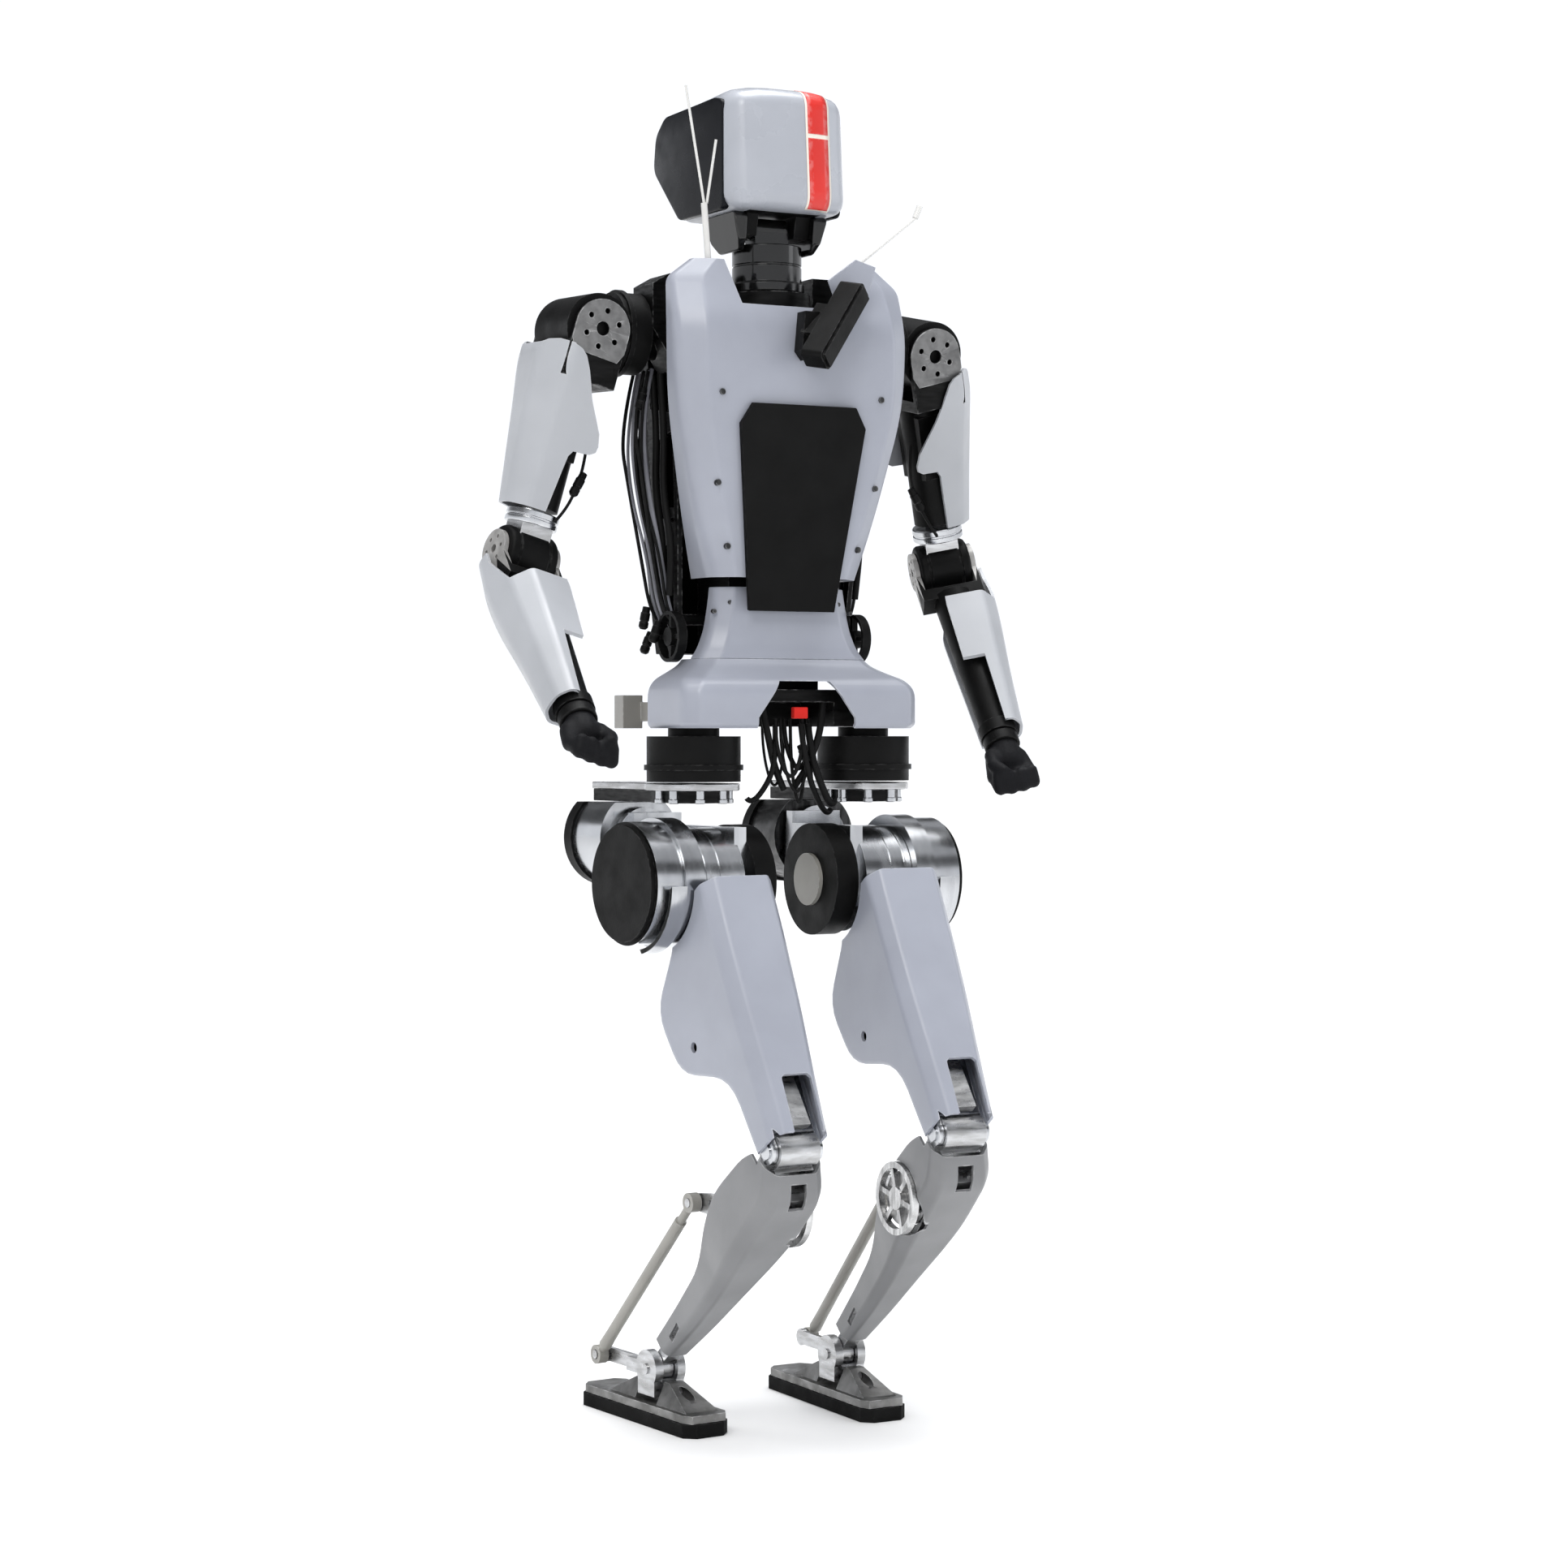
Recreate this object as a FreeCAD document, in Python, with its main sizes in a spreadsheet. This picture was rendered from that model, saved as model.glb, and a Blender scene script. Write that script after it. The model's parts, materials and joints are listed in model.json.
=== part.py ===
"""Walking humanoid robot, adult size, standing mid-stride with bent knees.

Frame: millimetres, +Z up, the robot faces -Y and its left side is +X.  The soles
stand on Z = 0 and the origin is under the middle of the robot's bounding box.

Every link has a frame of its own: origin on its joint, X to the robot's left,
Y to the rear, Z up along the link.  A sub-part is drawn upright in the frame of
its link, and the link's placement carries it to the walking stance.
"""
import FreeCAD
import Part
import Sketcher

import math
import os
import re

Vector = FreeCAD.Vector
Rotation = FreeCAD.Rotation
Placement = FreeCAD.Placement

doc = FreeCAD.newDocument("HumanoidRobot")
sheet = doc.addObject("Spreadsheet::Sheet", "Dims")

# ---------------------------------------------------------------- driving sizes
SIZES = {
    # stance
    "origin_shift_side": 7.4, "origin_shift_rear": 12.85,
    "hip_height": 622, "hip_spread": 110, "ankle_height": 62,
    "thigh_length": 345, "shank_length": 388,
    "right_thigh_pitch": 35.2, "left_thigh_pitch": 37.7, "right_leg_yaw": 5, "left_leg_yaw": 0,
    "shoulder_height": 1242, "shoulder_spread": 216, "shoulder_rear": 66,
    "upper_arm_length": 266, "wrist_drop": 277,
    "right_arm_pitch": 2.7, "right_arm_roll": 15.4, "right_arm_yaw": 6, "right_elbow_bend": 50.8,
    "left_arm_pitch": 11.2, "left_arm_roll": 15.5, "left_arm_yaw": 18, "left_elbow_bend": 52.8,
    # common
    "wall": 4, "screw_proud": 1.2, "gap": 0.5,
    # torso
    "chest_bottom": 965, "chest_top": 1321, "collar_crease": 1246, "chest_half": 150,
    "waist_half": 95, "waist_top": 955, "tray_top": 873, "tray_bottom": 795, "tray_half": 151,
    "tray_front": 67, "tray_rear": 34, "tray_lip": 43, "chest_front_top": 56,
    "chest_front_bottom": 29, "collar_half": 86, "collar_floor": 1270, "collar_floor_half": 72,
    "belly_top": 1161, "belly_bottom": 928, "belly_half": 80, "belly_bottom_half": 55,
    "belly_corner": 24, "belly_thick": 6, "back_rear": 140, "back_front": 96, "back_half": 122,
    "spine_half": 58, "rib_foot": 104, "rib_out": 130, "rib_thick": 6, "fan_radius": 29, "fan_height": 899,
    "fan_rear": 36, "lug_bore": 7, "lug_rear": 87, "lug_height": 1300, "lug_thick": 12,
    "whip_radius": 1.5, "camera_length": 112, "camera_tall": 27,
    "camera_deep": 30, "cutout_half": 62, "cutout_top": 848,
    # head and neck
    "neck_rear": 31, "neck_base": 1292, "neck_top": 1346, "neck_radius": 40,
    "head_pitch_height": 1366, "head_half": 75, "head_front": 44, "head_rear": 182,
    "head_bottom": 1380, "head_top": 1526, "head_corner": 26, "stripe_width": 27,
    "stripe_side": 30, "panel_inset": 2.5,
    # arm
    "roll_drive_radius": 40, "roll_drive_half": 44, "shoulder_plate_radius": 33,
    "pitch_drive_radius": 46, "beam_end": 150, "yoke_floor": 62,
    "upper_cover_bottom": 212, "elbow_disc_radius": 23, "elbow_drive_radius": 31,
    "elbow_drive_half": 31, "forearm_bottom": 262, "hand_length": 92,
    # hip
    "yaw_drive_radius": 53, "yaw_drive_bottom": 734, "yaw_drive_top": 786,
    "yaw_plate_low": 88, "yaw_plate_thick": 23, "roll_axis_up": 46, "roll_motor_radius": 57,
    "roll_motor_front": 118, "roll_motor_rear": 195, "pitch_body_radius": 61,
    "pitch_body_half": 30, "cap_radius": 69, "cap_outer": 95, "ring_radius": 73, "ring_outer": 55,
    "inner_radius": 64, "inner_end": 70, "hub_radius": 30, "cheek_thick": 12,
    # thigh and knee
    "thigh_top_half": 47, "thigh_knee_half": 38, "thigh_front_top": 88, "thigh_front_knee": 35,
    "hip_clear": 77, "knee_drive_down": 155, "knee_drive_rear": 40, "knee_drive_radius": 38,
    "knee_pin_radius": 8, "knee_room": 30, "knee_boss_radius": 22,
    # shank, ankle and foot
    "calf_half": 40, "shank_low_half": 18, "crank_down": 100, "crank_fore": 6,
    "crank_arm": 108, "crank_out": 18, "ankle_motor_radius": 41, "rod_radius": 7,
    "ankle_pin_radius": 6, "foot_length": 245, "foot_half": 30, "heel_length": 138,
    "sole_thick": 16, "foot_plate_thick": 9,
}


def fill_sheet():
    """Write each driving size into its own cell, with its alias beside it."""
    for row, (alias, value) in enumerate(SIZES.items(), start=1):
        sheet.set("A%d" % row, alias)
        sheet.set("B%d" % row, str(value))
        sheet.setAlias("B%d" % row, alias)
    doc.recompute()


fill_sheet()
WORD = re.compile(r"[a-z][a-z_]+")


def size(alias):
    """The present value of a cell of the sheet."""
    return float(getattr(sheet, alias))


def formula(text):
    """Turn a formula of alias words into an expression on the sheet."""
    return WORD.sub(lambda m: "Dims." + m.group(0) if m.group(0) in SIZES else m.group(0), str(text))


def value(text):
    """The number that a formula of alias words gives now."""
    found = sheet.evalExpression(formula(text))
    return float(getattr(found, "Value", found))


def bind(obj, **formulas):
    """Bind properties of an object to formulas; a double underscore stands for a dot."""
    for name, text in formulas.items():
        obj.setExpression(name.replace("__", "."), formula(text))


# ---------------------------------------------------------------- basic solids
def box(x, y, z):
    """A block between pairs of formulas along each axis."""
    made = doc.addObject("Part::Box", "Block")
    bind(made, Length="(%s) - (%s)" % (x[1], x[0]), Width="(%s) - (%s)" % (y[1], y[0]),
         Height="(%s) - (%s)" % (z[1], z[0]),
         Placement__Base__x=x[0], Placement__Base__y=y[0], Placement__Base__z=z[0])
    return made


TURNS = {"x": Rotation(Vector(0, 1, 0), 90), "y": Rotation(Vector(1, 0, 0), -90),
         "z": Rotation()}


def drum(axis, span, across, radius):
    """A cylinder along an axis: span is its two ends, across its other two coordinates."""
    made = doc.addObject("Part::Cylinder", "Drum")
    made.Placement = Placement(Vector(), TURNS[axis])
    bind(made, Radius=radius, Height="(%s) - (%s)" % (span[1], span[0]))
    others = iter(across)
    for letter in "xyz":
        start = span[0] if letter == axis else next(others)
        made.setExpression("Placement.Base." + letter, formula(start))
    return made


def cone(axis, span, across, radii):
    """A truncated cone, like drum but with a radius for each end."""
    made = doc.addObject("Part::Cone", "Taper")
    made.Placement = Placement(Vector(), TURNS[axis])
    bind(made, Radius1=radii[0], Radius2=radii[1], Height="(%s) - (%s)" % (span[1], span[0]))
    others = iter(across)
    for letter in "xyz":
        start = span[0] if letter == axis else next(others)
        made.setExpression("Placement.Base." + letter, formula(start))
    return made


def fuse(*parts):
    made = doc.addObject("Part::MultiFuse", "Joined")
    made.Shapes = list(parts)
    return made


def group(*parts):
    made = doc.addObject("Part::Compound", "Set")
    made.Links = list(parts)
    return made


def cut(base, *tools):
    made = doc.addObject("Part::Cut", "Pared")
    made.Base = base
    made.Tool = tools[0] if len(tools) == 1 else fuse(*tools)
    return made


def shaped(shape):
    """A solid whose shape is worked out here from the sheet's sizes."""
    made = doc.addObject("Part::Feature", "Shaped")
    made.Shape = shape
    return made


def mirror(side, low, high):
    """The X range of a piece that lies between two outward distances."""
    return (low, high) if side > 0 else ("-(%s)" % high, "-(%s)" % low)


PIECES = []


def piece(name, obj, placement):
    """Finish a sub-part: its Label names its file and its link places it."""
    holder = doc.addObject("Part::Compound", "Piece")
    holder.Links = [obj]
    holder.Label = name
    holder.Placement = placement
    PIECES.append(holder)
    return holder


def body_piece(name, body, placement):
    """Finish a sub-part that is a PartDesign body."""
    body.Label = name
    body.Placement = placement
    PIECES.append(body)
    return body


# ---------------------------------------------------------------- PartDesign helpers
def plane(body, role):
    return next(f for f in body.Origin.OriginFeatures if f.Role == role)


def outline(body, role, points, name):
    """A closed sketch through points, each one held by two bound distances."""
    sketch = body.newObject("Sketcher::SketchObject", name)
    sketch.AttachmentSupport = [(plane(body, role), "")]
    sketch.MapMode = "FlatFace"
    spots = [Vector(value(a), value(b), 0) for a, b in points]
    for index, spot in enumerate(spots):
        sketch.addGeometry(Part.LineSegment(spot, spots[(index + 1) % len(spots)]), False)
    for index, (a, b) in enumerate(points):
        following = (index + 1) % len(points)
        sketch.addConstraint(Sketcher.Constraint("Coincident", index, 2, following, 1))
    for index, (a, b) in enumerate(points):
        for kind, text in (("DistanceX", a), ("DistanceY", b)):
            number = sketch.addConstraint(
                Sketcher.Constraint(kind, -1, 1, index, 1, value(text)))
            sketch.setExpression("Constraints[%d]" % number, formula(text))
    return sketch


def circles(body, role, rounds, name):
    """A sketch of circles, each with a bound centre and radius."""
    sketch = body.newObject("Sketcher::SketchObject", name)
    sketch.AttachmentSupport = [(plane(body, role), "")]
    sketch.MapMode = "FlatFace"
    for index, (a, b, radius) in enumerate(rounds):
        centre = Vector(value(a), value(b), 0)
        sketch.addGeometry(Part.Circle(centre, Vector(0, 0, 1), value(radius)), False)
        for kind, text in (("DistanceX", a), ("DistanceY", b)):
            number = sketch.addConstraint(
                Sketcher.Constraint(kind, -1, 1, index, 3, value(text)))
            sketch.setExpression("Constraints[%d]" % number, formula(text))
        number = sketch.addConstraint(Sketcher.Constraint("Radius", index, value(radius)))
        sketch.setExpression("Constraints[%d]" % number, formula(radius))
    return sketch


def pad(body, sketch, length, midplane=False):
    made = body.newObject("PartDesign::Pad", "Pad")
    made.Profile = sketch
    made.Midplane = midplane
    bind(made, Length=length)
    return made


def pocket(body, sketch, length, midplane=True):
    """Cut a sketch through both ways, and refuse a cut that removes nothing."""
    before = body.Tip.Shape.Volume
    made = body.newObject("PartDesign::Pocket", "Pocket")
    made.Profile = sketch
    made.Midplane = midplane
    bind(made, Length=length)
    doc.recompute()
    if made.Shape.Volume > before - 1:
        raise SystemExit("a pocket of %s cuts nothing" % body.Name)
    return made


# ---------------------------------------------------------------- lofted shells
def inset(points, amount):
    """Move each edge of a convex, anticlockwise outline inwards."""
    moved = []
    count = len(points)
    for index in range(count):
        before, here, after = points[index - 1], points[index], points[(index + 1) % count]
        first = (here - before).normalize()
        second = (after - here).normalize()
        in_first = Vector(-first.y, first.x, 0)
        in_second = Vector(-second.y, second.x, 0)
        turn = 1 + in_first.dot(in_second)
        moved.append(here + (in_first + in_second) * (amount / turn))
    return moved


def loft(rings):
    wires = [Part.makePolygon(list(ring) + [ring[0]]) for ring in rings]
    return Part.makeLoft(wires, True, True)


def ring_of(height, half, flat, front, side_front, rear):
    """A level six-cornered outline: flat front, bevelled sides and a flat rear."""
    spots = [(-flat, front), (flat, front), (half, side_front), (half, rear),
             (-half, rear), (-half, side_front)]
    return [Vector(x, y, height) for x, y in spots]


def shell(rings, wall, open_rear=False, open_top=0.0, open_bottom=0.0):
    """A hollow of even wall between level rings, open wherever it is asked to be."""
    outer = loft(rings)
    inner_rings = []
    for ring in rings:
        spots = inset(ring, wall)
        if open_rear:
            far = wall * 4
            spots[3] = spots[3] + Vector(0, far, 0)
            spots[4] = spots[4] + Vector(0, far, 0)
        inner_rings.append(spots)
    low, high = inner_rings[0], inner_rings[-1]
    shift_low = Vector(0, 0, -1 if open_bottom else wall)
    shift_high = Vector(0, 0, 1 if open_top else -wall)
    inner_rings[0] = [p + shift_low for p in low]
    inner_rings[-1] = [p + shift_high for p in high]
    return outer.cut(loft(inner_rings))


def prism(points, axis, low, high):
    """A straight solid of a flat outline; axis is the way that it is pushed."""
    if axis == "x":
        spots = [Vector(low, a, b) for a, b in points]
        push = Vector(high - low, 0, 0)
    elif axis == "y":
        spots = [Vector(a, low, b) for a, b in points]
        push = Vector(0, high - low, 0)
    else:
        spots = [Vector(a, b, low) for a, b in points]
        push = Vector(0, 0, high - low)
    return Part.Face(Part.makePolygon(spots + [spots[0]])).extrude(push)


def tube(points, radius, bend=None):
    """A round cable: straight runs joined by tangent arcs as large as the runs allow."""
    edges = []
    start = points[0]
    radii = []
    for before, here, after in zip(points, points[1:], points[2:]):
        into = (here - before)
        out = (after - here)
        shorter = min(into.Length, out.Length)
        into.normalize()
        out.normalize()
        half = into.getAngle(out) / 2
        reach = 0.45 * shorter
        radii.append(reach / math.tan(half))
        first = here - into * reach
        last = here + out * reach
        bisector = (out - into).normalize()
        middle = here + bisector * (radii[-1] / math.cos(half) - radii[-1])
        edges.append(Part.LineSegment(start, first).toShape())
        edges.append(Part.Arc(first, middle, last).toShape())
        start = last
    edges.append(Part.LineSegment(start, points[-1]).toShape())
    path = Part.Wire(edges)
    section = Part.Wire(Part.Circle(points[0], points[1] - points[0], radius).toShape())
    made = path.makePipeShell([section], True, False)
    share = made.Volume / (math.pi * radius ** 2 * path.Length)
    print("cable of radius %.1f: least bend %.0f, volume ratio %.3f"
          % (radius, min(radii or [0]), share))
    return made


def cylinder(start, end, radius):
    way = end - start
    return Part.makeCylinder(radius, way.Length, start, way)


# ---------------------------------------------------------------- link placements
SIDE = Vector(1, 0, 0)
ALONG = Vector(0, 1, 0)
UP = Vector(0, 0, 1)
SHIFT = Vector(size("origin_shift_side"), size("origin_shift_rear"), 0)
ROOT = Placement(SHIFT, Rotation())
NAMES = {-1: "right", 1: "left"}


def leg_links(side):
    """Placements of one leg's links, from the hip down to the flat foot."""
    word = NAMES[side]
    yaw = Rotation(UP, side * -1 * size(word + "_leg_yaw"))
    pitch = size(word + "_thigh_pitch")
    hip = SHIFT + Vector(side * size("hip_spread"), 0, size("hip_height"))
    thigh_turn = yaw.multiply(Rotation(SIDE, -pitch))
    knee = hip + thigh_turn.multVec(Vector(0, 0, -size("thigh_length")))
    drop = knee.z - size("ankle_height")
    back = math.degrees(math.acos(drop / size("shank_length")))
    shank_turn = yaw.multiply(Rotation(SIDE, back))
    ankle = knee + shank_turn.multVec(Vector(0, 0, -size("shank_length")))
    crank_spot = Vector(0, -size("crank_fore"), -size("crank_down"))
    crank = knee + shank_turn.multVec(crank_spot)
    arm = yaw.multVec(Vector(0, size("crank_arm"), 0))
    return {"hip_yaw": Placement(hip, yaw), "hip_roll": Placement(hip, yaw),
            "thigh": Placement(hip, thigh_turn), "shank": Placement(knee, shank_turn),
            "crank": Placement(crank, yaw), "rod": Placement(crank + arm, shank_turn),
            "ankle": Placement(ankle, yaw), "foot": Placement(ankle, yaw)}


def arm_links(side):
    """Placements of one arm's links, from the shoulder to the hand."""
    word = NAMES[side]
    centre = SHIFT + Vector(side * size("shoulder_spread"), size("shoulder_rear"),
                            size("shoulder_height"))
    pitch = Rotation(SIDE, size(word + "_arm_pitch"))
    roll = pitch.multiply(Rotation(ALONG, -side * size(word + "_arm_roll")))
    yaw = roll.multiply(Rotation(UP, -side * size(word + "_arm_yaw")))
    elbow = centre + roll.multVec(Vector(0, 0, -size("upper_arm_length")))
    bend = yaw.multiply(Rotation(SIDE, -size(word + "_elbow_bend")))
    return {"shoulder": Placement(centre, pitch), "upper_arm": Placement(centre, roll),
            "elbow": Placement(elbow, yaw), "forearm": Placement(elbow, bend),
            "hand": Placement(elbow, bend)}


# ---------------------------------------------------------------- torso
def chest_front(height):
    """How far the chest's flat front stands forward of the hip line at a height."""
    low, high = size("chest_bottom"), size("belly_top")
    share = (height - low) / (high - low)
    lean = size("chest_front_top") - size("chest_front_bottom")
    return size("chest_front_bottom") + lean * min(share, 1.0)


def chest_cover():
    """Front cover: flat face, bevelled sides, sloped collar facet and neck opening."""
    bottom, top, crease = size("chest_bottom"), size("chest_top"), size("collar_crease")
    half, waist = size("chest_half"), size("waist_half")
    belly = size("belly_top")
    bevel = size("belly_corner") + size("wall")
    rows = [(bottom, waist, waist - bevel + 4, 18, -36),
            (bottom + 0.34 * (belly - bottom), waist + 21, waist - 6, 20, -18),
            (belly, half - 4, half - 2 - bevel, 22, 6),
            (crease, half, half - bevel, 24, 12),
            (top - 22, half - 3, half - bevel - 4, 16, 4),
            (top, half - 32, half - bevel - 26, 8, 6)]
    rings = []
    for height, outer, flat, bevel_back, rear in rows:
        front = chest_front(height)
        if height > crease:
            front -= (height - crease) * 0.42
        rings.append(ring_of(height, outer, flat, -front, -front + bevel_back, -rear))
    cover = shell(rings, size("wall"), open_rear=True, open_top=0, open_bottom=1)
    floor, wide = size("collar_floor"), size("collar_floor_half")
    opening = [(-wide, floor), (wide, floor), (size("collar_half"), top + 9),
               (-size("collar_half"), top + 9)]
    cover = cover.cut(prism(opening, "y", -120, 60))
    return shaped(cover.cut(screw_heads(0.05)))


def belly_plate():
    """Near-black plate of six corners, leaning with the chest, over its lower half."""
    body = doc.addObject("PartDesign::Body", "BellyPlate")
    half, low = "belly_half", "belly_bottom_half"
    tall = "(belly_top - belly_bottom)"
    points = [("-" + low, "0"), (low, "0"), (half, tall + " - belly_corner"),
              (half + " - belly_corner * 0.6", tall), ("-%s + belly_corner * 0.6" % half, tall),
              ("-" + half, tall + " - belly_corner")]
    pad(body, outline(body, "XZ_Plane", points, "BellyOutline"), "belly_thick")
    lean = math.degrees(math.atan2(chest_front(size("belly_top")) - chest_front(size("chest_bottom")),
                                   size("belly_top") - size("chest_bottom")))
    foot = Vector(0, -chest_front(size("belly_bottom")) - size("gap"), size("belly_bottom"))
    return body, Placement(SHIFT + foot, Rotation(SIDE, lean))


def waist_cover():
    """Low pale cover between the tray and the chest."""
    low, top, half = size("tray_top"), size("waist_top"), size("waist_half")
    rear = size("fan_rear") - 22
    rings = [ring_of(low + 0.4, half + 13, half - 8, -23, -7, rear),
             ring_of(low + 13, half + 4, half - 16, -19, -4, rear),
             ring_of(low + 34, half - 4, half - 22, -17, -3, rear),
             ring_of(top, half - 11, half - 29, -13, -2, rear)]
    cover = shell(rings, size("wall"), open_rear=True, open_top=1, open_bottom=1)
    return shaped(cover.cut(screw_heads(0.05)))


def pelvis_tray():
    """Wide pale tray round the pelvis with a cut-out in front for the leads."""
    low, top, half = size("tray_bottom"), size("tray_top"), size("tray_half")
    front, rear, lip = size("tray_front"), size("tray_rear"), size("tray_lip")
    corner = 16
    rings = [ring_of(low, half - 3, half - corner, 3 - front, 2 - front + corner, rear),
             ring_of(low + 5, half, half - corner, -front, -front + corner, rear),
             ring_of(low + lip, half, half - corner, -front, -front + corner, rear),
             ring_of(low + lip + 12, half - 8, half - corner - 12, 9 - front,
                     11 - front + corner, rear),
             ring_of(low + lip + 20, half - 23, half - corner - 28, 26 - front,
                     26 - front + corner, rear),
             ring_of(top - 7, half - 37, half - corner - 44, -29, -12, rear),
             ring_of(top, half - 43, half - corner - 48, -24, -7, rear)]
    tray = shell(rings, size("wall"), open_rear=True, open_bottom=1)
    wide, high = size("cutout_half"), size("cutout_top")
    notch = [(-wide, low - 9), (wide, low - 9), (wide, low + 12), (wide - 30, high),
             (30 - wide, high), (-wide, low + 12)]
    tray = tray.cut(prism(notch, "y", -front - 9, -30))
    well = size("spine_half") + 22
    tray = tray.cut(Part.makeBox(2 * well, 60 + rear, 60, Vector(-well, 6, top - 30)))
    return shaped(tray)


def back_cover():
    """Dark back panel, rounded in at the sides and open to the front."""
    half, rear, front = size("back_half"), size("back_rear"), size("back_front")
    rows = [(size("tray_top") + 8, half - 24), (size("chest_bottom") + 30, half - 10),
            (size("belly_top"), half), (size("collar_crease") + 42, half - 12)]
    rings = []
    for height, wide in rows:
        level = ring_of(height, wide, wide - 22, -rear, -rear + 20, -front)
        rings.append(level)
    cover = shell(rings, size("wall"), open_rear=True)
    return shaped(cover.mirror(Vector(), Vector(0, 1, 0)))


def torso_frame():
    """Black frame: pelvis block, spine box, side ribs and the shoulder beam."""
    top = "collar_crease + 30"
    pelvis = box(("-124", "124"), ("-34", "56"), ("tray_bottom + 2", "tray_bottom + 44"))
    hollow = box(("-spine_half + 6", "spine_half - 6"), ("-40", "44"),
                 ("tray_bottom", "tray_bottom + 30"))
    spine = box(("-spine_half", "spine_half"), ("14", "back_front - 4"),
                ("tray_bottom + 30", top))
    beam = drum("x", ("-beam_end", "beam_end"), ("shoulder_rear", "shoulder_height"),
                "pitch_drive_radius - 18")
    collar = drum("z", (top + " - 30", "neck_base - 1"), ("0", "neck_rear"),
                  "neck_radius + 10")
    rear_arms = [box(mirror(side, "86", "124"), ("50", "72"),
                     ("tray_bottom + 6", "tray_bottom + 44")) for side in (-1, 1)]
    ribs = [shaped(rib(side)) for side in (-1, 1)]
    lug = fuse(box(("-lug_thick / 2", "lug_thick / 2"), ("lug_rear - 10", "lug_rear + 8"),
                   (top + " - 4", "lug_height")),
               drum("x", ("-lug_thick / 2", "lug_thick / 2"), ("lug_rear", "lug_height"),
                    "lug_bore + 5"))
    eye = drum("x", ("-lug_thick", "lug_thick"), ("lug_rear", "lug_height"), "lug_bore")
    webs = [shaped(shoulder_web(side)) for side in (-1, 1)]
    ties = [box(("-rib_foot - 3", "rib_foot + 3"), ("44", "72"), (low, high))
            for low, high in (("tray_top + 40", "tray_top + 52"),
                              ("chest_bottom + 70", "chest_bottom + 82"),
                              ("belly_top - 6", "belly_top + 6"))]
    return cut(fuse(cut(pelvis, hollow), spine, beam, collar, lug,
                    *(rear_arms + ribs + ties + webs)), eye)


def shoulder_web(side):
    """Black plate that slopes from the top of the chest down to the shoulder motor."""
    crease = size("collar_crease")
    edge = [(56, crease - 46), (56, crease + 68), (84, crease + 68), (128, crease + 62),
            (149, crease + 50), (149, crease), (118, crease - 46)]
    web = prism([(side * x, z) for x, z in edge], "y", 24, 74)
    return web.cut(prism([(side * x, z) for x, z in ((74, crease - 30), (74, crease - 6),
                                                     (112, crease - 6), (100, crease - 30))],
                         "y", 20, 80))


def rib(side):
    """One side plate of the torso, leaning out towards the shoulder, with three windows."""
    low, high = size("tray_top") + 6, size("collar_crease") + 10
    flare = math.degrees(math.atan2(20, high - low))
    outer = [(40, 0), (84, 0), (92, high - low), (0, high - low), (20, 0.5 * (high - low))]
    plate = prism(outer, "x", 0, size("rib_thick"))
    tall = (high - low) / 3.6
    for step in range(3):
        start = 26 + step * (tall + 18)
        near = 46 - 13 * step
        window = [(near, start), (74 + 3 * step, start + 10),
                  (75 + 3 * step, start + tall - 12), (near - 6, start + tall)]
        plate = plate.cut(prism(window, "x", -5, size("rib_thick") + 5))
    plate.rotate(Vector(), ALONG, flare)
    plate.translate(Vector(size("rib_foot"), 0, low))
    return plate if side > 0 else plate.mirror(Vector(), SIDE)


def cooling_fans():
    """A round fan on each side of the waist: rim, hub and four spokes."""
    made = []
    for side in (-1, 1):
        at = ("fan_rear", "fan_height")
        span = mirror(side, "rib_out - 16", "rib_out - 5")
        ring = cut(drum("x", span, at, "fan_radius"), drum("x", span, at, "fan_radius - 4"))
        hub = drum("x", span, at, "fan_radius * 0.36")
        bars = [box(mirror(side, "rib_out - 15", "rib_out - 8"),
                    ("fan_rear - 2.5", "fan_rear + 2.5"),
                    ("fan_height - fan_radius + 2", "fan_height + fan_radius - 2")),
                box(mirror(side, "rib_out - 15", "rib_out - 8"),
                    ("fan_rear - fan_radius + 2", "fan_rear + fan_radius - 2"),
                    ("fan_height - 2.5", "fan_height + 2.5"))]
        made.append(fuse(ring, hub, *bars))
    return group(*made)


def rear_module():
    """Pale box at the right rear of the pelvis, on a short arm."""
    case = box(("-153", "-128"), ("94", "117"), ("tray_bottom", "tray_bottom + 38"))
    arm = box(("-130", "-112"), ("72.4", "112"), ("tray_bottom + 8", "tray_bottom + 30"))
    return fuse(case, arm)


def depth_camera():
    """Camera bar with two end lugs on a pointed bracket at the left of the collar."""
    long, tall, deep = size("camera_length"), size("camera_tall"), size("camera_deep")
    bar = Part.makeBox(long, deep - 3, tall, Vector(-long / 2, -deep / 2 + 3, -tall / 2))
    bar = bar.makeFillet(6, [e for e in bar.Edges if abs(e.tangentAt(e.FirstParameter).y) > 0.9])
    glass = Part.makeBox(long - 8, 4, tall - 6, Vector(4 - long / 2, -deep / 2, 3 - tall / 2))
    stub = Part.makeBox(44, 20, 16, Vector(-22, deep / 2 - 2, -8))
    made = bar.fuse([glass, stub])
    made.rotate(Vector(), SIDE, 16)
    made.rotate(Vector(), ALONG, -52)
    made.rotate(Vector(), UP, 18)
    made.translate(Vector(22, -92, 1246))
    fin = prism([(-8, 1262), (-12, 1218), (-4, 1208), (4, 1212), (40, 1262)], "y", -76, -57)
    return shaped(made.fuse(fin))


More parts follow.
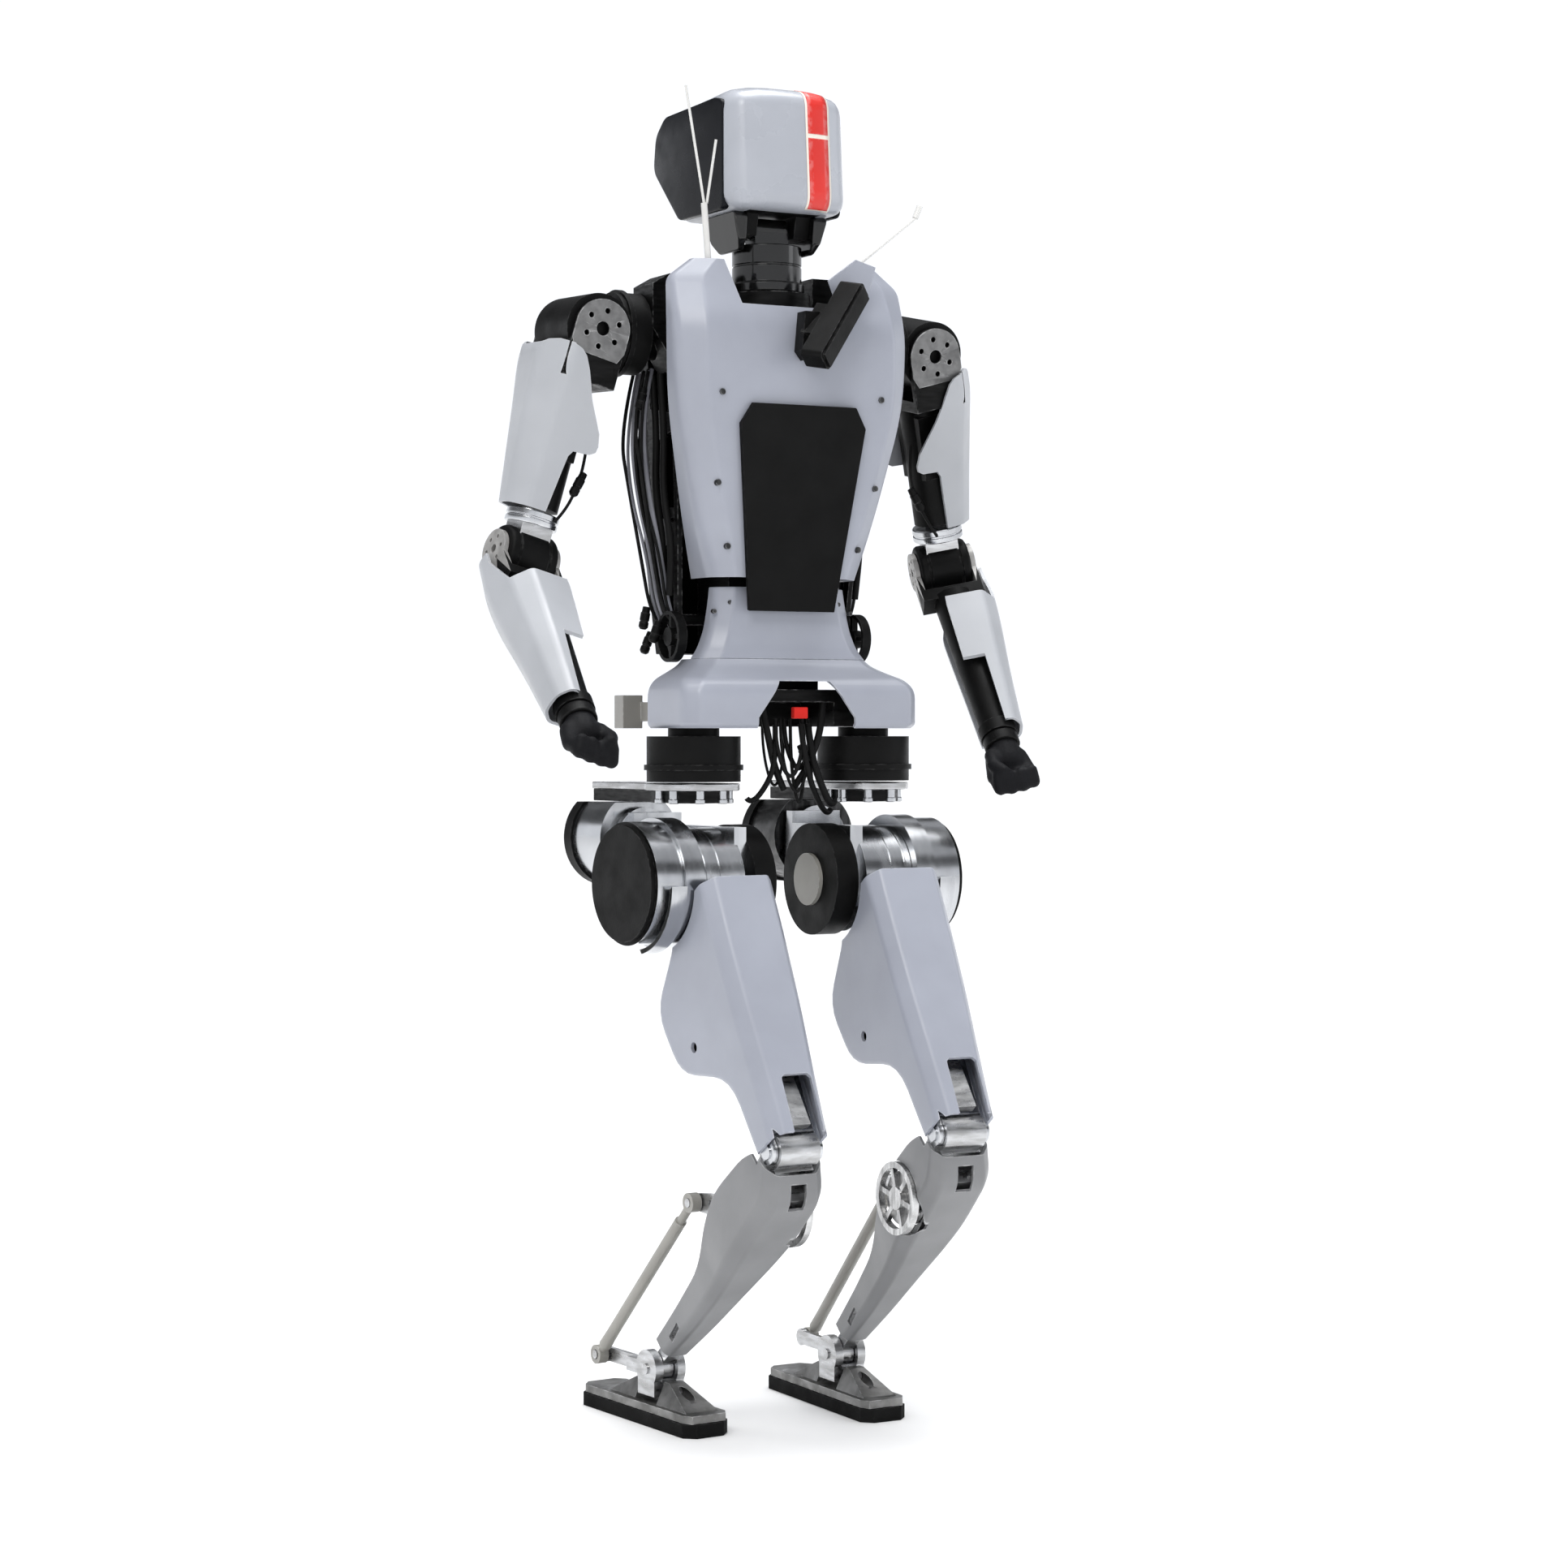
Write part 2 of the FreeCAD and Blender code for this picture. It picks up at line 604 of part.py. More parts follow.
def antennas():
    """Two thin whips at the right of the collar and one at the left, each in a sheath."""
    radius = size("whip_radius")
    top = size("chest_top")
    near = Vector(-98, -12.5, top + 0.5)
    knee = near + Vector(-6, -2, 62)
    far = Vector(92, -12.5, top + 3.6)
    tip = far + Vector(78, -4, 62)
    parts = [cylinder(near, knee, radius * 2.4),
             cylinder(knee, knee + Vector(-26, -6, 128), radius),
             cylinder(knee + Vector(3.4, 0, 0), knee + Vector(10, -10, 70), radius),
             cylinder(far, tip, radius * 1.3),
             cylinder(tip, tip + Vector(6, 0, 14), radius * 2.4)]
    right = parts[0].fuse([parts[1], parts[2]])
    left = parts[3].fuse(parts[4])
    return shaped(Part.makeCompound([right, left]))


def hip_yaw_drives():
    """Two black drums under the tray that turn the legs about the vertical."""
    made = []
    for side in (-1, 1):
        at = ("%d * hip_spread" % side, "0")
        drive = drum("z", ("yaw_drive_bottom + 1", "yaw_drive_top"), at, "yaw_drive_radius")
        neck = drum("z", ("yaw_drive_top", "tray_bottom + 1.8"), at, "yaw_drive_radius - 24")
        fins = cut(drum("z", ("yaw_drive_bottom + 14", "yaw_drive_bottom + 20"), at,
                        "yaw_drive_radius + 3"),
                   drum("z", ("yaw_drive_bottom + 13", "yaw_drive_bottom + 21"), at,
                        "yaw_drive_radius - 2"))
        made.append(fuse(drive, neck, fins))
    return group(*made)


def screw_spots():
    """Centre, outward way and size of each cover screw of the torso."""
    spots = []
    for side in (-1, 1):
        for height, out in ((size("belly_top") + 8, 102), (size("belly_top") - 92, 101),
                            (size("chest_bottom") + 34, 84)):
            spots.append((Vector(side * out, -chest_front(height) + 0.2, height), 3.5))
        for height, out in ((size("waist_top") - 18, 70), (size("waist_top") - 28, 88)):
            spots.append((Vector(side * out, -12 if out < 80 else -8, height), 2.6))
    return spots


def screw_heads(grow=0.0):
    """The heads as plain discs set into the covers; grow widens them for their seats."""
    heads = []
    for centre, radius in screw_spots():
        start = centre + Vector(0, -size("screw_proud"), 0)
        heads.append(cylinder(start, start + Vector(0, 5, 0), radius + grow))
    return heads


def cover_screws():
    """Button heads on the chest and the waist."""
    return shaped(Part.makeCompound(screw_heads()))


def torso_cables():
    """Leads clipped down the right and left flanks and looped under the tray."""
    radius = 4
    bundles = []
    for side in (-1, 1):
        for lane in range(2):
            rear = 34 + 20 * lane
            points = [Vector(side * 133, rear + 4, 1196), Vector(side * 130, rear, 1130),
                      Vector(side * 128, rear + 8, 1066), Vector(side * 123, rear - 4, 1004),
                      Vector(side * 121, rear + 5, 946)]
            bundles.append(tube(points, radius))
        under = [Vector(side * 40, -30, 824), Vector(side * 34, -34, 790),
                 Vector(side * 22, -28, 752), Vector(side * 6, -20, 726)]
        bundles.append(tube(under, radius))
    return shaped(Part.makeCompound(bundles))


# ---------------------------------------------------------------- neck and head
def neck_column():
    """Dark column with a collar ring at each end, and the head's cradle."""
    at = ("0", "0")
    post = drum("z", ("0.6", "neck_top - neck_base"), at, "neck_radius")
    foot = drum("z", ("0.6", "12"), at, "neck_radius + 3")
    lug = drum("x", ("-22", "22"), ("0", "head_pitch_height - neck_base"), "13")
    stem = box(("-22", "22"), ("-12", "12"),
               ("neck_top - neck_base - 2", "head_pitch_height - neck_base"))
    return fuse(post, foot, lug, stem)


def head_block(grow=0.0):
    """The rounded block of the head, its rear lower edge cut back; grow offsets it inwards."""
    base = size("head_pitch_height")
    half = size("head_half") - grow
    front = size("head_front") + size("neck_rear") - grow
    rear = size("head_rear") - size("neck_rear") - grow
    low, high = size("head_bottom") - base + grow, size("head_top") - base - grow
    side = [(-front, low), (rear - 74, low), (rear, low + 66), (rear - 4, high - 30),
            (rear - 30, high - 5), (-front + 46, high), (-front + 8, high - 9)]
    block = prism(side, "x", -half, half)
    return block


def head_shell():
    """Pale hollow head with rounded corners, opened below for the neck."""
    block = head_block()
    block = block.makeFillet(size("head_corner") * 0.8, block.Edges)
    core = head_block(size("wall"))
    core = core.makeFillet(size("head_corner") * 0.8 - size("wall"), core.Edges)
    head = block.cut(core)
    mouth = Part.makeBox(92, 108, 60, Vector(-46, -46, size("head_bottom")
                                             - size("head_pitch_height") - 40))
    head = head.cut(mouth)
    for side in (-1, 1):
        head = head.cut(side_panel(side, size("panel_inset"), 0.4))
    return shaped(head)


def head_base():
    """Dark plate in the opening under the head, with a cheek on each side of the neck's lug."""
    low = size("head_bottom") - size("head_pitch_height")
    plate = Part.makeBox(91, 107, 9, Vector(-45.5, -45.5, low + 0.5))
    cheeks = []
    for side in (-1, 1):
        edge = [(-20, -10), (20, -10), (26, low + 1), (-26, low + 1)]
        start, end = sorted((side * 24, side * 45))
        cheeks.append(prism(edge, "x", start, end))
    return shaped(plate.fuse(cheeks))


def side_panel(side, deep, grow):
    """Five-cornered dark panel let into one side of the head."""
    base = size("head_pitch_height")
    half = size("head_half")
    front = size("head_front") + size("neck_rear")
    rear = size("head_rear") - size("neck_rear")
    low, high = size("head_bottom") - base, size("head_top") - base
    corners = [(-front + 27, low + 10), (rear - 84, low + 8), (rear - 12, low + 74),
               (rear - 14, high - 32), (-front + 60, high - 17), (-front + 27, high - 24)]
    spots = [Vector(a, b, 0) for a, b in corners]
    spots = inset(spots, 8 - grow)
    flat = prism([(p.x, p.y) for p in spots], "x", half - deep, half + 6)
    flat = flat.makeFillet(12, [e for e in flat.Edges if abs(e.tangentAt(e.FirstParameter).x) > 0.9])
    return flat if side > 0 else flat.mirror(Vector(), SIDE)


def head_side_panels():
    """The two dark side panels, flush with the shell."""
    made = []
    for side in (-1, 1):
        panel = side_panel(side, size("panel_inset") - 0.2, 0.0)
        keep = Part.makeBox(2 * size("head_half"), 400, 400,
                            Vector(-size("head_half"), -200, -200))
        made.append(panel.common(keep))
    return shaped(Part.makeCompound(made))


def head_stripe():
    """Raised band down the left of the face, following its corners."""
    skin = head_block(-0.7)
    skin = skin.makeFillet(size("head_corner") * 0.8 + 0.7, skin.Edges)
    block = head_block(-0.05)
    block = block.makeFillet(size("head_corner") * 0.8, block.Edges)
    band = Part.makeBox(size("stripe_width"), 60, 146,
                        Vector(size("stripe_side") - size("stripe_width") / 2, -90,
                               size("head_bottom") - size("head_pitch_height") + 6))
    return shaped(skin.cut(block).common(band))


# ---------------------------------------------------------------- arms
def shoulder_drive(side):
    """Pitch motor across the body fused to the fore-and-aft roll motor."""
    inner = drum("x", mirror(side, "beam_end - shoulder_spread + 0.6", "-33"), ("0", "0"),
                 "pitch_drive_radius")
    flange = drum("x", mirror(side, "-44", "-38"), ("0", "0"), "pitch_drive_radius + 3")
    roll = drum("y", ("-roll_drive_half", "roll_drive_half"), ("0", "0"), "roll_drive_radius")
    return fuse(inner, flange, roll)


def shoulder_yoke(side):
    """Two round-topped plates on the roll axis and the bridge under the motor."""
    parts = []
    for low, high in (("-roll_drive_half - 8", "-roll_drive_half - 0.6"),
                      ("roll_drive_half + 0.6", "roll_drive_half + 8")):
        plate = fuse(drum("y", (low, high), ("0", "0"), "shoulder_plate_radius"),
                     box(("-shoulder_plate_radius", "shoulder_plate_radius"), (low, high),
                         ("-yoke_floor", "0")))
        holes = [drum("y", (low + " - 1", high + " + 1"), ("0", "0"), "8")]
        for step in range(6):
            turn = math.radians(60 * step)
            holes.append(drum("y", (low + " - 1", high + " + 1"),
                              ("%.3f * shoulder_plate_radius * 0.62" % math.sin(turn),
                               "%.3f * shoulder_plate_radius * 0.62" % math.cos(turn)), "3.2"))
        parts.append(cut(plate, *holes))
    bridge = box(("-shoulder_plate_radius", "shoulder_plate_radius"),
                 ("-roll_drive_half - 8", "roll_drive_half + 8"),
                 ("-yoke_floor", "-yoke_floor + 14"))
    return fuse(bridge, *parts)


def upper_arm_drive(side):
    """Black core of the upper arm: the motor that turns the forearm about the arm."""
    core = drum("z", ("-upper_cover_bottom + 4", "-yoke_floor - 0.4"), ("0", "0"), "26")
    case = box(("-20", "20"), ("-26", "26"), ("-150", "-74"))
    return fuse(core, case)


def upper_arm_cover(side):
    """Pale shell round the outside and front of the upper arm, open on the inner side."""
    bottom = -size("upper_cover_bottom")
    rows = [(bottom, 38, 30, 30), (bottom + 60, 44, 36, 36), (-96, 49, 43, 42), (-52, 53, 56, 56),
            (-24, 50, 50, 48)]
    rings = []
    for height, out, front, rear in rows:
        spots = [(-0.95 * out, -front), (0.5 * out, -front), (out, -0.46 * front),
                 (out, 0.46 * rear), (0.5 * out, rear), (-0.95 * out, rear)]
        rings.append([Vector(x, y, height) for x, y in spots])
    cover = shell(rings, size("wall") - 0.5, open_top=1, open_bottom=1)
    cover = cover.cut(Part.makeBox(66, 140, 84, Vector(-78, -70, bottom - 10)))
    cover = cover.cut(Part.makeBox(40, 140, 260, Vector(-78, -70, bottom - 10)))
    cut_top = [(-90, -74), (-12, -74), (30, -20), (30, 20), (-90, 20)]
    cover = cover.cut(prism(cut_top, "y", -80, 80))
    room = Part.makeBox(2 * size("shoulder_plate_radius") + 2, 2 * size("roll_drive_half") + 17.4,
                        90, Vector(-size("shoulder_plate_radius") - 1,
                                   -size("roll_drive_half") - 8.7, -size("yoke_floor") - 0.6))
    cover = cover.cut(room)
    cover = cover.cut(cylinder(Vector(0, -90, 0), Vector(0, 90, 0), size("roll_drive_radius") + 2))
    return shaped(cover if side > 0 else cover.mirror(Vector(), SIDE))


def elbow_bracket(side):
    """Bright ring under the upper arm and the black elbow motor hung from it."""
    top = "upper_arm_length - upper_cover_bottom - 1"
    ring = drum("z", ("37", top), ("0", "0"), "elbow_drive_radius - 1")
    neck = box(("-21", "21"), ("-19", "19"), ("18", "38"))
    motor = drum("x", ("-elbow_drive_half", "elbow_drive_half"), ("0", "0"),
                 "elbow_drive_radius")
    return fuse(ring, neck, motor)


def forearm_frame(side):
    """Two holed discs on the elbow, their arms, and the black core down to the wrist."""
    parts = []
    for way in (-1, 1):
        span = mirror(way, "elbow_drive_half + 0.8", "elbow_drive_half + 6.5")
        wide = mirror(way, "elbow_drive_half", "elbow_drive_half + 8")
        plate = fuse(drum("x", span, ("0", "0"), "elbow_disc_radius"),
                     box(span, ("-14", "14"), ("-54", "0")))
        holes = [drum("x", wide, ("0", "0"), "5")]
        for step in range(6):
            turn = math.radians(60 * step)
            holes.append(drum("x", wide, ("%.2f" % (14.5 * math.sin(turn)),
                                          "%.2f" % (14.5 * math.cos(turn))), "2.4"))
        parts.append(cut(plate, *holes))
    bridge = box(("-elbow_drive_half - 6.5", "elbow_drive_half + 6.5"), ("-14", "14"),
                 ("-56", "-40"))
    core = cone("z", ("-forearm_bottom", "-50"), ("0", "0"), ("19", "24"))
    wrist = drum("z", ("-forearm_bottom - 1", "-forearm_bottom + 14"), ("0", "0"), "22")
    return fuse(bridge, core, wrist, *parts)


def forearm_cover(side):
    """Pale shell round the outside and rear of the forearm, stepped back in front."""
    rows = [(-256, 30, 25, 27), (-180, 36, 31, 35), (-100, 45, 38, 46), (-48, 48, 40, 48),
            (-8, 47, 36, 42)]
    rings = []
    for height, out, front, rear in rows:
        spots = [(-0.8 * out, -front), (0.62 * out, -front), (out, -0.4 * front),
                 (out, 0.5 * rear), (0.6 * out, rear), (-0.8 * out, rear)]
        rings.append([Vector(x, y, height) for x, y in spots])
    cover = shell(rings, size("wall") - 0.5, open_top=1, open_bottom=1)
    cover = cover.cut(Part.makeBox(60, 140, 280, Vector(-78, -70, -265)))
    step = [(-60, -74), (-16, -74), (4, -24), (4, 10), (-60, 10)]
    cover = cover.cut(prism(step, "x", -60, 60))
    lower = [(-60, -266), (-12, -266), (-12, -172), (-60, -150)]
    cover = cover.cut(prism(lower, "x", -60, 8))
    cover = cover.cut(cylinder(Vector(-60, 0, 0), Vector(38.4, 0, 0), size("elbow_drive_radius") + 3))
    return shaped(cover if side > 0 else cover.mirror(Vector(), SIDE))


def hand(side):
    """Closed mitt: wrist cuff, palm, curled fingers and a thumb."""
    top = -size("forearm_bottom") - 1.6
    long = size("hand_length")
    cuff = cylinder(Vector(0, 0, top), Vector(0, 0, top - 16), 21)
    palm = loft([[Vector(x * 22, y * 17, top - 14) for x, y in ((-1, -1), (1, -1), (1, 1), (-1, 1))],
                 [Vector(x * 31, y * 22, top - 40) for x, y in ((-1, -1), (1, -1), (1, 1), (-1, 1))],
                 [Vector(x * 29, y * 23, top - long + 14)
                  for x, y in ((-1, -1), (1, -1), (1, 1), (-1, 1))],
                 [Vector(x * 20, y * 15, top - long) for x, y in ((-1, -1), (1, -1), (1, 1), (-1, 1))]])
    palm = palm.makeFillet(7, [e for e in palm.Edges if abs(e.tangentAt(e.FirstParameter).z) > 0.5])
    thumb = cylinder(Vector(-20 * side, -16, top - 26), Vector(-14 * side, -27, top - 62), 9)
    thumb = thumb.fuse(Part.makeSphere(9, Vector(-14 * side, -27, top - 62)))
    return shaped(cuff.fuse([palm, thumb]))


# ---------------------------------------------------------------- hip
def hip_yaw_bracket(side):
    """Machined plate under the yaw motor, run back over the roll motor."""
    body = doc.addObject("PartDesign::Body", "YawBracket")
    low = "yaw_plate_low"
    rear = "roll_motor_rear - 12"
    points = [("-27", rear), ("-30", "60"), ("-46", "30"), ("-46", "-26"), ("-28", "-50"),
              ("28", "-50"), ("46", "-26"), ("46", "30"), ("30", "60"), ("27", rear)]
    pad(body, outline(body, "XY_Plane", points, "PlateOutline"), "yaw_plate_thick")
    rounds = [("0", "0", "16")]
    for step in range(8):
        turn = math.radians(45 * step + 22.5)
        rounds.append(("%.2f" % (37 * math.cos(turn)), "%.2f" % (37 * math.sin(turn)), "2.6"))
    rounds.append(("0", "92", "14"))
    doc.recompute()
    pocket(body, circles(body, "XY_Plane", rounds, "PlateHoles"), "yaw_plate_thick * 3")
    return body, Placement(Vector(0, 0, size("yaw_plate_low")), Rotation())


def hip_roll_drive(side):
    """Fore-and-aft motor hung under the rear of the yaw plate, with a black end ring."""
    case = drum("y", ("roll_motor_front", "roll_motor_rear - 16"), ("0", "roll_axis_up"),
                "roll_motor_radius - 4")
    ring = drum("y", ("roll_motor_rear - 16", "roll_motor_rear"), ("0", "roll_axis_up"),
                "roll_motor_radius")
    room = box(("-80", "80"), ("0", "220"), ("yaw_plate_low - 0.4", "200"))
    dish = drum("y", ("roll_motor_rear - 5", "roll_motor_rear + 1"), ("0", "roll_axis_up"),
                "roll_motor_radius - 14")
    return cut(fuse(case, ring), room, dish)


def hip_pitch_drive(side):
    """Roll link: output flange, cheek plate, bright pitch motor and its inner housing."""
    cheek = box(mirror(side, "-pitch_body_half - cheek_thick", "-pitch_body_half + 4"),
                ("-44", "roll_motor_front - 8"), ("-30", "62"))
    flange = drum("y", ("roll_motor_front - 12", "roll_motor_front - 0.8"),
                  ("0", "roll_axis_up"), "36")
    web = box(mirror(side, "-pitch_body_half - cheek_thick", "22"),
              ("roll_motor_front - 24", "roll_motor_front - 10"), ("8", "76"))
    motor = drum("x", mirror(side, "-pitch_body_half", "pitch_body_half"), ("0", "0"),
                 "pitch_body_radius")
    grooves = [cut(drum("x", mirror(side, low, low + " + 2"), ("0", "0"), "90"),
                   drum("x", mirror(side, low + " - 1", low + " + 3"), ("0", "0"),
                        "pitch_body_radius - 1.2")) for low in ("2", "20")]
    bright = cut(fuse(cheek, flange, web, motor), *grooves)
    housing = drum("x", mirror(side, "-inner_end", "-pitch_body_half - cheek_thick - 0.2"),
                   ("0", "0"), "inner_radius")
    hub = drum("x", mirror(side, "-inner_end - 5", "-inner_end - 0.2"), ("0", "0"),
               "hub_radius")
    return group(bright, housing, hub)


def thigh_drive_cap(side):
    """Bright output ring, black outer cap and the curved guard under it."""
    ring = drum("x", mirror(side, "pitch_body_half + 0.6", "ring_outer"), ("0", "0"),
                "ring_radius")
    cap = drum("x", mirror(side, "ring_outer + 0.2", "cap_outer"), ("0", "0"), "cap_radius")
    step = cut(drum("x", mirror(side, "cap_outer - 6", "cap_outer + 1"), ("0", "0"), "90"),
               drum("x", mirror(side, "cap_outer - 7", "cap_outer + 2"), ("0", "0"),
                    "cap_radius - 4"))
    guard = cut(drum("x", mirror(side, "ring_outer + 2", "ring_outer + 22"), ("0", "0"), "79"),
                drum("x", mirror(side, "ring_outer + 1", "ring_outer + 23"), ("0", "0"), "73.6"),
                box(("-200", "200"), ("-100", "100"), ("-46", "100")),
                box(("-200", "200"), ("34", "100"), ("-100", "100")))
    return group(ring, cut(cap, step), guard)


def thigh_cover(side):
    """Pale thigh shell: tapering front panel, bevels, and the bulge over the knee drive."""
    knee = -size("thigh_length") + 4
    top = -49
    rows = [(knee, size("thigh_knee_half"), 13), (-321, 38.5, 13), (-249, 42, 9), (-196, 45, 90),
            (-117, 47, 91), (-76, size("thigh_top_half"), 20), (top, size("thigh_top_half"), 4)]
    rings = []
    for height, half, rear in rows:
        share = (height - knee) / (top - knee)
        front = size("thigh_front_knee") + share * (size("thigh_front_top")
                                                    - size("thigh_front_knee"))
        rings.append(ring_of(height, half, half - 13, -front, -front + 15, rear))
    cover = shell(rings, size("wall"), open_top=1, open_bottom=1)
    cover = cover.cut(cylinder(Vector(-120, 0, 0), Vector(120, 0, 0), size("hip_clear")))
    hole = Vector(0, size("knee_drive_rear") + 4, -188)
    cover = cover.cut(cylinder(hole - SIDE * 80, hole + SIDE * 80, 6))
    window = Part.makeBox(38, 60, 70, Vector(-13, -80, knee - 6))
    axle = Vector(0, 0, -size("thigh_length"))
    inside = size("thigh_knee_half") - size("wall") - 0.2
    room = cylinder(axle - SIDE * inside, axle + SIDE * inside, size("knee_room"))
    return shaped(cover.cut([window, room]))


def thigh_frame(side):
    """Side plates and ties of the thigh, the knee drive in the bulge, and the knee pin."""
    knee = "-thigh_length"
    plates = []
    for out, top in ((("26", "32"), -66), (("-32", "-26"), -84)):
        low, high = mirror(side, *out)
        start, end = value(low), value(high)
        edge = [(-13, -size("thigh_length")), (5, -size("thigh_length")), (2, -252), (24, -205),
                (18, top - 20), (8, top), (-44, top), (-54, top - 20), (-30, -220)]
        plate = prism(edge, "x", start, end)
        eye = cylinder(Vector(start, 0, -size("thigh_length")), Vector(end, 0, -size("thigh_length")),
                       size("knee_boss_radius") - 8)
        plates.append(shaped(plate.fuse(eye)))
    clear = drum("x", ("-100", "100"), ("0", "0"), "hip_clear - 1")
    ties = [box(("-27", "27"), ("-34", "-22"), ("-128", "-108")),
            box(("-27", "27"), ("-18", "0"), ("-262", "-244"))]
    pin = drum("x", ("-34", "34"), ("0", knee), "knee_pin_radius")
    frame = fuse(cut(fuse(*(plates + ties)), clear), pin)
    motor = drum("x", ("-25.6", "25.6"), ("knee_drive_rear", "-knee_drive_down"),
                 "knee_drive_radius")
    gearbox = box(("-15", "15"), ("-29", "-18.4"), ("-330", "-200"))
    post = box(("-6", "6"), ("-18.6", "-0.2"), ("-243", "-222"))
    room = drum("x", ("-25.8", "25.8"), ("knee_drive_rear", "-knee_drive_down"),
                "knee_drive_radius + 0.3")
    return group(cut(frame, room), motor, fuse(gearbox, post))


# ---------------------------------------------------------------- shank
def shank_cover(side):
    """Pale shank shell open at the rear: knee cap, calf and slim lower shank."""
    low = -size("shank_length") + 40
    rows = [(low, size("shank_low_half"), 14, 12), (low + 66, 21, 27, 8), (-206, 27, 38, 4),
            (-150, 36, 44, 22), (-104, size("calf_half"), 48, 30), (-34, size("calf_half"), 49, 20),
            (-10, size("calf_half") - 3, 26, 10)]
    rings = []
    for height, half, front, rear in rows:
        flat = half - min(12, half * 0.36)
        rings.append(ring_of(height, half, flat, -front, -front + half * 0.36, rear))
    cover = shell(rings, size("wall") - 0.6, open_rear=True, open_top=1, open_bottom=1)
    centre = Vector(0, -size("crank_fore"), -size("crank_down"))
    inner = centre - SIDE * 80 * side
    cover = cover.cut(cylinder(centre - SIDE * 20 * side, inner, size("ankle_motor_radius") + 1))
    window = Part.makeBox(20, 40, 26, Vector(-8, -62, -44))
    cover = cover.cut(window)
    slot = Part.makeBox(120, 8, 26, Vector(-60, -12, low + 26))
    notch = Part.makeBox(120, 60, 30, Vector(-60, -2, -18))
    return shaped(cover.cut([slot, notch]))


def shank_frame(side):
    """Knee eye, front web, ankle motor with its spoked cap, and the bar to the ankle."""
    eye = drum("x", ("-25.4", "25.4"), ("0", "0"), "knee_boss_radius - 3")
    head = box(("-25", "25"), ("-20", "12"), ("-60", "-12"))
    web = box(("-22", "22"), ("-40", "-33"), ("-150", "-38"))
    web_top = box(("-22", "22"), ("-40", "-18"), ("-58", "-38"))
    foot = box(("-14", "14"), ("-36", "-12"), ("-176", "-142"))
    bar = shaped(loft([[Vector(x * 8.6, 2 + y * 7.5, -size("shank_length") + 6)
                        for x, y in ((-1, -1), (1, -1), (1, 1), (-1, 1))],
                       [Vector(x * 12, -22 + y * 13, -150)
                        for x, y in ((-1, -1), (1, -1), (1, 1), (-1, 1))]]))
    ankle_eye = drum("x", ("-8.6", "8.6"), ("0", "-shank_length"), "14")
    bores = [drum("x", ("-60", "60"), ("0", "0"), "knee_pin_radius + 0.4"),
             drum("x", ("-60", "60"), ("0", "-shank_length"), "ankle_pin_radius + 0.4")]
    at = ("-crank_fore", "-crank_down")
    room = drum("x", ("-60", "60"), at, "31")
    frame = cut(fuse(eye, head, web, web_top, foot, bar, ankle_eye), room, *bores)
    motor = drum("x", mirror(side, "-calf_half + 3", "2"), at, "30")
    axle = drum("x", mirror(side, "2", "3.4"), at, "12")
    rim = cut(drum("x", mirror(side, "-calf_half - 5", "-calf_half + 3"), at,
                   "ankle_motor_radius"),
              drum("x", mirror(side, "-calf_half - 6", "-calf_half + 4"), at,
                   "ankle_motor_radius - 7"))
    hub = drum("x", mirror(side, "-calf_half - 4", "-calf_half + 4"), at, "13")
    spokes = []
    for step in range(3):
        bar_made = shaped(Part.makeBox(6, 6, 2 * size("ankle_motor_radius") - 8,
                                       Vector(-3, -3, -size("ankle_motor_radius") + 4)))
        bar_made.Placement = Placement(
            Vector(side * -(size("calf_half") - 0.5), -size("crank_fore"), -size("crank_down")),
            Rotation(SIDE, 60 * step))
        spokes.append(bar_made)
    return group(frame, fuse(motor, axle, hub, rim, *spokes))


def ankle_crank(side):
    """Crank on the ankle motor: hub, lightened arm and the pin for the push rod."""
    body = doc.addObject("PartDesign::Body", "AnkleCrank")
    points = [("-12", "-14"), ("4", "-19"), ("crank_arm", "-10"), ("crank_arm + 9", "-5"),
              ("crank_arm + 9", "5"), ("crank_arm", "10"), ("4", "19"), ("-12", "14"), ("-19", "0")]
    pad(body, outline(body, "YZ_Plane", points, "ArmOutline"), "6")
    doc.recompute()
    rounds = [("36", "0", "8"), ("60", "0", "6.5"), ("82", "0", "5")]
    pocket(body, circles(body, "YZ_Plane", rounds, "ArmHoles"), "30")
    stud = circles(body, "YZ_Plane", [("crank_arm", "0", "5")], "StudOutline")
    pad(body, stud, "crank_out + 3")
    for feature in body.Group:
        if feature.TypeId == "PartDesign::Pad":
            feature.Reversed = side < 0
    return body, Placement(Vector(4 * side, 0, 0), Rotation())


def ankle_rod(side):
    """Push rod with an eye at each end, swollen in the middle."""
    length = size("shank_length") - size("crank_down")
    centre = side * size("crank_out")
    low = Vector(centre, size("crank_fore"), -length)
    high = Vector(centre, 0, 0)
    way = (high - low).normalize()
    radius = size("rod_radius")
    bar = cylinder(low + way * 10, high - way * 10, radius * 0.72)
    sleeve = cylinder(low + way * 44, high - way * 34, radius)
    foot = Part.makeCone(radius, radius * 1.08, 26, low + way * 44, way * -1)
    made = bar.fuse([sleeve, foot])
    for spot in (low, high):
        eye = cylinder(spot - SIDE * 6, spot + SIDE * 6, 11)
        made = made.fuse(eye)
    for spot, bore in ((low, 5.8), (high, 5.3)):
        made = made.cut(cylinder(spot - SIDE * 20, spot + SIDE * 20, bore))
    return shaped(made)


